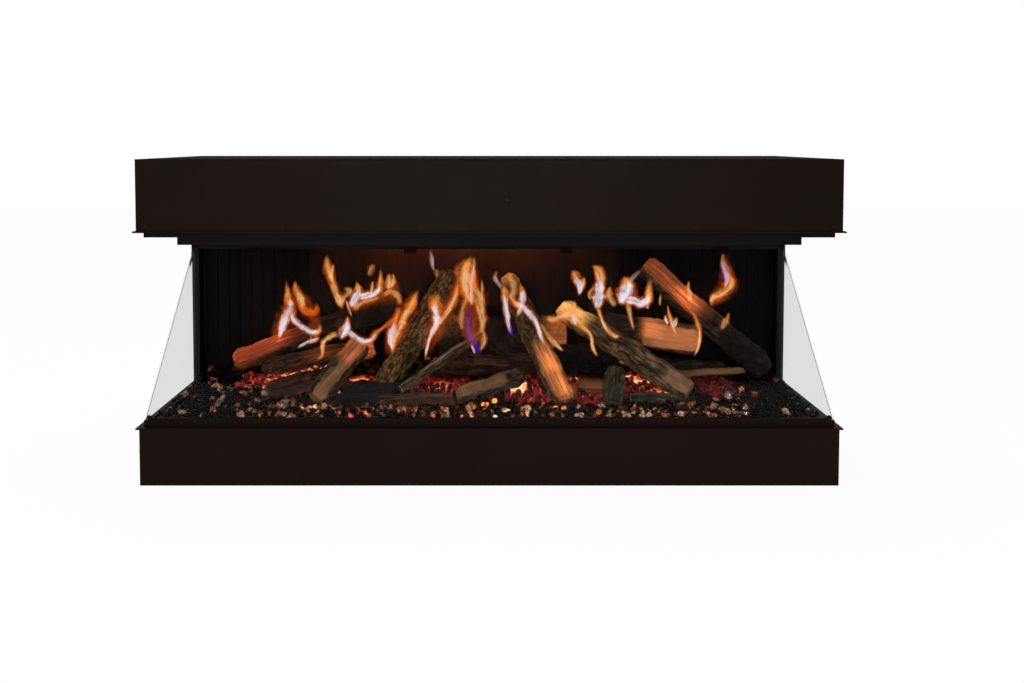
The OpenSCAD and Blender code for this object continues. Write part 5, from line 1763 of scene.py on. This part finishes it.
class FlameTone(Enum):
    """Colour of a flame's core, 1 for an orange rim or 0 for none, and how wide the core is."""

    WHITE = (0.94, 0.84, 0.94, 1.0, 1.15)
    PALE = (0.88, 0.50, 0.22, 1.0, 0.95)
    ORANGE = (1.0, 0.66, 0.27, 1.0, 0.86)
    VIOLET = (0.05, 0.012, 0.42, 0.0, 1.0)
    VEIL = (0.9, 0.13, 0.012, 0.0, 1.0)

    @property
    def tint(self) -> tuple[float, ...]:
        """The colour, and 1 for a rim, as the mesh stores them."""
        return self.value[:4]

    @property
    def core(self) -> float:
        """How wide the core is."""
        return self.value[4]


@dataclass(frozen=True)
class Tongue:
    """One tongue of flame: its points in the main view, in pixels, with its width at each."""

    tone: FlameTone
    path: tuple[tuple[float, float, float], ...]
    light: float = 1.0


# Short names of the tones, for the list of tongues.
W, P, O, V, E = FlameTone.WHITE, FlameTone.PALE, FlameTone.ORANGE, FlameTone.VIOLET, FlameTone.VEIL
# Tongues of the painted reflection of the display's flames, drawn in the main view.
TONGUES = (
    Tongue(E, ((275, 345, 8), (279, 332, 16), (286, 318, 20), (290, 304, 14), (288, 288, 4)), 0.2),
    Tongue(E, ((320, 334, 8), (312, 318, 16), (305, 306, 20), (298, 294, 14), (296, 282, 4)), 0.2),
    Tongue(E, ((346, 312, 8), (358, 304, 16), (374, 298, 18), (390, 290, 20), (396, 276, 6)), 0.24),
    Tongue(E, ((388, 358, 6), (394, 338, 20), (402, 322, 22), (410, 304, 16), (418, 288, 4)), 0.25),
    Tongue(E, ((426, 356, 6), (434, 332, 20), (446, 312, 22), (456, 292, 14), (458, 276, 4)), 0.22),
    Tongue(E, ((476, 350, 10), (472, 326, 26), (472, 304, 28), (470, 282, 26), (470, 262, 8)), 0.26),
    Tongue(E, ((548, 326, 10), (560, 320, 18), (570, 314, 16), (578, 308, 8)), 0.2),
    Tongue(E, ((710, 308, 6), (718, 296, 16), (728, 284, 18), (726, 268, 12), (723, 252, 4)), 0.28),
    Tongue(W, ((279, 342, 3), (281, 332, 8), (286, 318, 12), (290, 307, 13), (288, 296, 8), (286, 280, 2))),
    Tongue(W, ((291, 310, 8), (294, 320, 7), (302, 327, 8), (311, 332, 9), (319, 331, 7),
               (320, 323, 2)), 0.9),
    Tongue(O, ((303, 311, 6), (301, 300, 10), (297, 291, 9), (295, 280, 2)), 0.7),
    Tongue(E, ((299, 304, 5), (304, 309, 10), (311, 313, 9), (316, 311, 7), (317, 303, 2)), 0.8),
    Tongue(O, ((383, 296, 4), (391, 292, 7), (398, 297, 8), (400, 306, 5)), 0.55),
    Tongue(E, ((399, 306, 6), (396, 317, 7), (386, 326, 5), (374, 334, 2)), 0.7),
    Tongue(O, ((342, 310, 3), (340, 301, 9), (336, 292, 9), (332, 281, 8), (328, 268, 10),
               (327, 254, 2)), 0.9),
    Tongue(O, ((333, 282, 5), (332, 273, 7), (334, 264, 2)), 0.6),
    Tongue(O, ((341, 306, 3), (345, 297, 8), (350, 291, 8), (343, 288, 3)), 0.4),
    Tongue(P, ((346, 300, 3), (349, 309, 3), (352, 317, 2)), 0.7),
    Tongue(O, ((368, 276, 4), (371, 270, 9), (374, 264, 3)), 0.3),
    Tongue(W, ((351, 309, 7), (355, 299, 13), (359, 292, 11), (356, 281, 2))),
    Tongue(W, ((357, 298, 9), (367, 296, 10), (375, 293, 9), (380, 286, 8), (381, 268, 2))),
    Tongue(O, ((371, 294, 4), (372, 287, 5), (373, 281, 2)), 0.6),
    Tongue(O, ((388, 290, 7), (389, 283, 9), (389, 273, 3)), 0.7),
    Tongue(O, ((390, 289, 5), (393, 282, 7), (393, 273, 2)), 0.7),
    Tongue(O, ((353, 311, 4), (362, 303, 6), (373, 300, 5), (380, 297, 3)), 0.6),
    Tongue(W, ((340, 340, 5), (345, 331, 12), (347, 323, 8), (348, 316, 2))),
    Tongue(W, ((346, 329, 8), (354, 336, 8), (363, 342, 9), (371, 340, 8), (376, 333, 6),
               (386, 326, 2)), 0.8),
    Tongue(O, ((339, 334, 7), (330, 337, 8), (323, 343, 6), (322, 356, 4), (316, 359, 3)), 0.7),
    Tongue(W, ((297, 348, 3), (306, 343, 4), (315, 340, 5), (320, 337, 3)), 0.7),
    Tongue(O, ((310, 344, 3), (311, 340, 5), (311, 335, 2)), 0.5),
    Tongue(O, ((392, 357, 2), (394, 340, 9), (400, 328, 11), (406, 315, 9), (412, 303, 10),
               (419, 289, 2)), 0.9),
    Tongue(W, ((393, 354, 3), (391, 342, 9), (392, 332, 10), (395, 321, 5), (401, 306, 2)), 0.8),
    Tongue(W, ((425, 361, 2), (427, 349, 4), (430, 337, 6), (436, 324, 10), (436, 312, 13), (435, 302, 14),
               (440, 293, 5))),
    Tongue(O, ((431, 334, 4), (441, 321, 8), (449, 309, 8), (456, 294, 7), (458, 278, 2)), 0.75),
    Tongue(W, ((434, 272, 2), (432, 261, 6), (430, 249, 2)), 0.28),
    Tongue(O, ((437, 278, 3), (437, 273, 7), (435, 269, 3)), 0.22),
    Tongue(P, ((474, 306, 5), (468, 294, 17), (466, 280, 20), (467, 268, 19), (472, 256, 5)), 0.95),
    Tongue(W, ((472, 308, 3), (471, 296, 5), (472, 280, 6), (474, 266, 5), (474, 256, 2)), 0.5),
    Tongue(O, ((484, 318, 4), (481, 300, 9), (474, 284, 9), (473, 258, 3)), 0.5),
    Tongue(O, ((483, 303, 4), (482, 292, 5), (482, 279, 1)), 0.5),
    Tongue(O, ((463, 332, 4), (461, 318, 8), (464, 304, 7), (470, 296, 3)), 0.35),
    Tongue(O, ((482, 334, 4), (482, 320, 11), (478, 306, 9), (474, 296, 4)), 0.55),
    Tongue(V, ((470, 334, 5), (469, 326, 9), (469, 317, 10), (471, 306, 4)), 0.22),
    Tongue(V, ((480, 356, 3), (477, 347, 7), (471, 338, 7), (466, 330, 4)), 0.6),
    Tongue(W, ((475, 354, 3), (473, 349, 4), (471, 343, 2)), 0.5),
    Tongue(O, ((480, 352, 3), (484, 342, 7), (483, 332, 7), (477, 328, 2)), 0.5),
    Tongue(W, ((502, 288, 4), (499, 284, 5), (495, 278, 6), (497, 270, 2)), 0.3),
    Tongue(W, ((511, 335, 3), (508, 321, 6), (506, 307, 8), (505, 294, 9), (503, 285, 3)), 0.9),
    Tongue(W, ((546, 350, 3), (541, 336, 6), (535, 321, 7), (526, 309, 9), (515, 303, 9),
               (508, 292, 5)), 0.95),
    Tongue(W, ((516, 318, 4), (522, 304, 8), (522, 294, 8), (520, 283, 2)), 0.7),
    Tongue(O, ((508, 300, 8), (514, 290, 12), (510, 278, 9), (507, 272, 3)), 0.35),
    Tongue(V, ((513, 337, 3), (510, 329, 5), (507, 318, 3)), 0.7),
    Tongue(O, ((564, 352, 2), (556, 345, 6), (548, 336, 6), (540, 322, 3)), 0.55),
    Tongue(P, ((545, 318, 5), (556, 319, 10), (568, 314, 10), (574, 306, 6), (573, 300, 2)), 0.9),
    Tongue(W, ((579, 296, 4), (580, 287, 9), (577, 279, 12), (572, 270, 4)), 0.95),
    Tongue(O, ((580, 290, 4), (583, 284, 7), (584, 277, 2)), 0.6),
    Tongue(W, ((596, 311, 4), (599, 300, 14), (600, 288, 14), (598, 276, 8), (593, 265, 2))),
    Tongue(O, ((598, 300, 5), (602, 282, 8), (600, 270, 8), (591, 266, 2)), 0.6),
    Tongue(O, ((590, 300, 3), (590, 294, 6), (594, 286, 3)), 0.5),
    Tongue(O, ((616, 307, 5), (611, 300, 9), (609, 292, 7), (611, 286, 2)), 0.5),
    Tongue(W, ((619, 305, 8), (624, 297, 20), (627, 287, 19), (623, 276, 4))),
    Tongue(W, ((624, 301, 8), (633, 301, 14), (641, 303, 12), (648, 297, 11), (650, 277, 4))),
    Tongue(O, ((648, 310, 2), (647, 302, 7), (650, 290, 5)), 0.6),
    Tongue(O, ((634, 331, 3), (631, 320, 5), (628, 308, 6), (627, 300, 3)), 0.5),
    Tongue(W, ((628, 284, 4), (634, 277, 6), (641, 270, 3)), 0.24),
    Tongue(P, ((660, 306, 2), (660, 300, 3), (661, 293, 1)), 0.5),
    Tongue(O, ((677, 336, 2), (673, 328, 5), (670, 317, 5), (667, 304, 1)), 0.9),
    Tongue(W, ((668, 325, 3), (666, 320, 5), (665, 315, 2)), 0.8),
    Tongue(W, ((674, 328, 3), (675, 323, 6), (677, 317, 2)), 0.8),
    Tongue(O, ((694, 357, 2), (698, 347, 4), (700, 334, 5), (697, 322, 5), (692, 310, 2)), 0.9),
    Tongue(O, ((690, 303, 4), (690, 296, 9), (688, 289, 6), (689, 280, 2)), 0.7),
    Tongue(O, ((711, 307, 2), (713, 299, 8), (721, 294, 12), (730, 288, 11), (731, 279, 9),
               (726, 272, 4)), 0.75),
    Tongue(W, ((724, 290, 5), (727, 278, 9), (723, 264, 7), (723, 251, 2)), 0.5),
    Tongue(V, ((726, 284, 3), (725, 273, 7), (722, 262, 4)), 0.55),
    Tongue(P, ((721, 330, 3), (726, 322, 8), (729, 312, 2)), 0.5),
    Tongue(O, ((598, 357, 2), (593, 349, 5), (591, 336, 5), (582, 326, 7), (575, 318, 5)), 0.8),
    Tongue(W, ((576, 326, 3), (573, 315, 8), (571, 306, 5)), 0.7),
    Tongue(O, ((621, 336, 3), (613, 336, 7), (605, 327, 5), (600, 314, 5), (598, 306, 3)), 0.8),
)


@dataclass
class PaintedFlameReflection:
    """Painted reflection of the display's flames: each tongue a thin lens of light close behind the pane,
    laid along the main view's lines of sight.
    """

    view: Viewpoint
    box: Firebox
    tongues: tuple[Tongue, ...] = TONGUES
    behind: float = 5.0
    lower: float = 3.0
    steps: int = 30
    columns: int = 9
    spread: float = 1.3
    bulge: float = 0.2
    bulge_most: float = 2.6
    wisp_step: float = 7.3

    def path(self, tongue: Tongue) -> np.ndarray:
        """Lays a smooth line through a tongue's points.

        Args:
            tongue: its plan.

        Returns:
            Points of the line with the width at each, in pixels.
        """
        keys = np.array(tongue.path, float)
        keys = np.vstack([2 * keys[0] - keys[1], keys, 2 * keys[-1] - keys[-2]])
        out = []
        spans = len(keys) - 3
        for t in np.linspace(0, spans, self.steps):
            i = min(int(t), spans - 1)
            f = t - i
            a, b, c, e = keys[i : i + 4]
            square = 2 * a - 5 * b + 4 * c - e
            cube = 3 * b - a - 3 * c + e
            out.append(0.5 * (2 * b + (c - a) * f + square * f**2 + cube * f**3))
        run = np.array(out)
        run[:, 2] = np.maximum(run[:, 2], 0.8)
        return run

    def shape(self, tongue: Tongue, seed: int) -> tuple[np.ndarray, list, dict[str, np.ndarray]]:
        """Builds a tongue.

        Args:
            tongue: its plan.
            seed: moves its wisps.

        Returns:
            Its points as [x, d, z] in millimetres, its faces and the values on its points.
        """
        run = self.path(tongue)
        rise = self.box.pane_rise - self.box.pane_thick - self.behind
        points, flow, light, core = [], [], [], []
        way = np.gradient(run[:, :2], axis=0)
        pace = np.linalg.norm(way, axis=1)
        way /= np.maximum(pace, TINY)[:, None]
        far = np.cumsum(pace)
        for face in (1, -1):
            for k, (u, v, wide) in enumerate(run):
                share = k / (self.steps - 1)
                wide = wide * self.spread
                fade = smooth(0.0, 0.16, share) * smooth(1.0, 0.8, share)
                for c in np.linspace(-1, 1, self.columns):
                    spot = u - way[k, 1] * c * wide / 2, v + way[k, 0] * c * wide / 2
                    bulge = face * (1 - c * c) * min(wide * self.bulge, self.bulge_most)
                    points.append(self.view.on_slope(*spot, rise - self.lower + bulge))
                    flow.append((c, far[k], seed * self.wisp_step))
                    light.append(fade * tongue.light)
                    core.append(tongue.tone.core * smooth(0.0, 0.14, share) * smooth(1.0, 0.5, share))
        faces = []
        size = self.steps * self.columns
        for side in (0, 1):
            for k in range(self.steps - 1):
                for c in range(self.columns - 1):
                    a = side * size + k * self.columns + c
                    quad = (a, a + 1, a + self.columns + 1, a + self.columns)
                    faces.append(quad if side else quad[::-1])
        for k in range(self.steps - 1):
            for c in (0, self.columns - 1):
                a = k * self.columns + c
                faces.append((a, a + self.columns, a + self.columns + size, a + size))
        values = {"flow": np.array(flow), "lit": np.array(light), "core": np.array(core)}
        values["tint"] = np.tile(tongue.tone.tint, (len(points), 1))
        return np.array(points), faces, values

    def build(self, dresser: Dresser) -> None:
        """Makes every tongue.

        Args:
            dresser: makes and dresses the pieces.
        """
        finish = Flame("painted_reflection_flames", 1.15)
        for number, tongue in enumerate(self.tongues):
            points, faces, values = self.shape(tongue, number)
            made = dresser.piece(
                f"flame_{number + 1:02d}", self.box.world(points), faces, finish, "display", (), values)
            made.visible_shadow = False


@dataclass
class Casing:
    """Hood, base, rear frame, panes and what is shut inside them: all keep their CAD shapes."""

    satin: Coat = Coat("black_powder_coat", (0.0060, 0.0027, 0.0017), 0.46, 0.045)

    def build(self, dresser: Dresser) -> None:
        """Dresses every CAD node that stays.

        Args:
            dresser: dresses the nodes.
        """
        dull = Coat("matt_black_paint", (0.0038, 0.0028, 0.0025), 0.62, 0.05, 1200.0)
        dresser.dress(self.satin, "base_shell", "base_lip", "hood_shell", "hood_lip", "rear_panel",
                      "glass_rail")
        dresser.dress(Coat("black_powder_coat_cover", (0.0060, 0.0030, 0.0021), 0.75, 0.015), "hood_cover")
        dresser.dress(dull, "underside_panel", "display_surround", "glass_top_rail", "glass_clips")
        dresser.dress(Coat("matt_black_posts", (0.0020, 0.0015, 0.0013), 0.7, 0.02, 1200.0), "post_left",
                      "post_right")
        # Back wall with a painted glow from the display.
        dresser.dress(PaintedGlowWall("painted_glow_wall", (0.0030, 0.0021, 0.0020), 0.62, 0.03, 1200.0), "back_liner")
        zinc = SheetMetal("galvanised_sheet", (0.55, 0.56, 0.57), 0.42)
        dresser.dress(zinc, "base_floor", "ember_tray", "display_backplate", "heater_case", "power_supply")
        dresser.dress(Pane("tinted_pane", (0.875, 0.875, 0.875), (0.05, 0.05, 0.05), 1.12, 0.2542),
                      "reflector_glass")
        dresser.dress(Pane("clear_pane", (0.865, 0.865, 0.865), (0.05, 0.05, 0.05), 1.04, 0.5675, True),
                      "side_glass_left", "side_glass_right")
        dresser.dress(SheetMetal("pressed_aluminium", (0.72, 0.73, 0.75), 0.3, 0.05), "blower_wheel")
        dresser.dress(SheetMetal("lacquered_motor_steel", (0.2, 0.2, 0.22), 0.4, 0.1), "blower_motor")
        dresser.dress(Moulding("heater_ceramic", (0.62, 0.6, 0.54), 0.7), "heater_element")
        dresser.dress(Moulding("black_plastic", (0.014, 0.014, 0.014), 0.45), "outlet_grille",
                      "fan_frame_left", "fan_frame_right", "power_inlet", "button_plate", "rocker_housing",
                      "rocker")
        dresser.dress(Moulding("grey_plastic", (0.09, 0.09, 0.1), 0.4), "fan_rotor_left", "fan_rotor_right",
                      "button_flame", "button_ember", "button_heat")
        dresser.dress(Moulding("black_screw_steel", (0.003, 0.002, 0.002), 0.5, 2200.0, 0.1), "casing_screws")
        dresser.dress(Moulding("infrared_window", (0.004, 0.001, 0.001), 0.3, 2200.0, 0.06), "receiver_lens")
        dresser.dress(Moulding("cable_sleeve", (0.02, 0.02, 0.022), 0.6, 500.0), "wiring_loom")
        dresser.dress(Board("control_board", (0.012, 0.12, 0.045), (0.02, 0.02, 0.022), 1, 0.1628),
                      "control_board")
        dresser.dress(Board("lamp_strips", (0.75, 0.75, 0.7), (0.95, 0.7, 0.2), 2, 0.0612, 4.0),
                      "ember_led_strips")
        dresser.dress(FlamePicture("display_picture", 7.0), "display_panel")
        patches = ((-430, 190, 42, 42, 0.5), (-335, 195, 70, 45, 0.5), (-235, 188, 45, 42, 0.5),
                   (-80, 158, 62, 48, 0.5), (75, 145, 55, 75, 0.55), (180, 150, 42, 75, 0.5),
                   (282, 175, 60, 65, 0.5), (408, 155, 38, 46, 0.2))
        dresser.dress(GlowingBed("ember_moulding", patches + tuple((*spot, 2.4) for spot in OPENINGS), 1.3),
                      "ember_bed")


@dataclass(frozen=True)
class Lamp:
    """A soft square lamp: where it hangs, what it points at, its side in metres and its watts."""

    name: str
    place: Place
    aim: Place
    size: float
    power: float


@dataclass
class Studio:
    """Pale floor and backdrop, soft lamps and the world."""

    floor_size: float = 12.0
    floor_grey: float = 0.92
    floor_glow: float = 0.93
    world_light: float = 0.75
    lamps: tuple[Lamp, ...] = (
        Lamp("key", (-0.06, -2.5, 0.72), (0.0, 0.0, 0.35), 0.8, 21.0),
        Lamp("fill_left", (-2.4, -1.6, 1.6), (0.0, 0.0, 0.3), 1.6, 12.0),
        Lamp("top", (0.0, 0.3, 2.6), (0.0, 0.0, 0.3), 1.8, 18.0))

    def build(self) -> None:
        """Makes the stage."""
        scene = bpy.context.scene
        scene.view_settings.view_transform = "Standard"
        floor = bpy.data.meshes.new("studio_floor")
        half = self.floor_size / 2
        corners = [(-half, -half, 0), (half, -half, 0), (half, half, 0), (-half, half, 0)]
        floor.from_pydata(corners, [], [(0, 1, 2, 3)])
        made = bpy.data.objects.new("studio_floor", floor)
        scene.collection.objects.link(made)
        floor.materials.append(self.floor_material())
        self.world()
        for lamp in self.lamps:
            self.hang(lamp)

    def floor_material(self) -> bpy.types.Material:
        """Builds a white floor that keeps a soft shadow.

        Returns:
            The finished material.
        """
        made = bpy.data.materials.new("studio_floor")
        made.use_nodes = True
        g = Graph(made.node_tree)
        shader = made.node_tree.nodes["Principled BSDF"]
        g.fit(shader, Base_Color=(self.floor_grey,) * 3, Roughness=0.9, Specular_IOR_Level=0.0)
        white = g.add("Emission", {"Color": WHITE, "Strength": 1.0})
        rays = g.add("LightPath").outputs
        seen = g.calc("MAXIMUM", g.calc("MAXIMUM", rays["Is Camera Ray"], rays["Is Transmission Ray"]),
                      rays["Is Glossy Ray"])
        shares = {0: g.times(seen, self.floor_glow), 1: shader.outputs[0], 2: white.outputs[0]}
        g.close(g.add("MixShader", shares))
        return made

    def world(self) -> None:
        """Sets a plain light all round, seen as white."""
        world = bpy.data.worlds.new("studio")
        world.use_nodes = True
        bpy.context.scene.world = world
        g = Graph(world.node_tree)
        plain = g.fit(world.node_tree.nodes["Background"], Color=WHITE, Strength=self.world_light)
        white = g.add("Background", {"Color": WHITE, "Strength": 1.0})
        rays = g.add("LightPath").outputs
        seen = g.calc("MAXIMUM", rays["Is Camera Ray"], rays["Is Transmission Ray"])
        g.close(g.add("MixShader", {0: seen, 1: plain.outputs[0], 2: white.outputs[0]}))

    @staticmethod
    def hang(lamp: Lamp) -> None:
        """Adds a lamp.

        Args:
            lamp: its plan.
        """
        data = bpy.data.lights.new(lamp.name, "AREA")
        data.size = lamp.size
        data.energy = lamp.power
        made = bpy.data.objects.new(lamp.name, data)
        made.location = lamp.place
        made.rotation_euler = (Vector(lamp.aim) - Vector(lamp.place)).to_track_quat("-Z", "Y").to_euler()
        bpy.context.scene.collection.objects.link(made)


def main() -> None:
    """Builds the view, the stage and every sub-assembly."""
    logging.basicConfig(level=logging.INFO, format="%(name)s: %(message)s")
    view = Viewpoint()
    view.camera()
    Studio().build()
    dresser = Dresser()
    box = Firebox()
    Casing().build(dresser)
    logs = LogPile(box)
    logs.build(dresser)
    BedMedia(box, logs).build(dresser)
    # Painted reflection of the display's flames.
    PaintedFlameReflection(view, box).build(dresser)


if __name__ == "__main__":
    main()
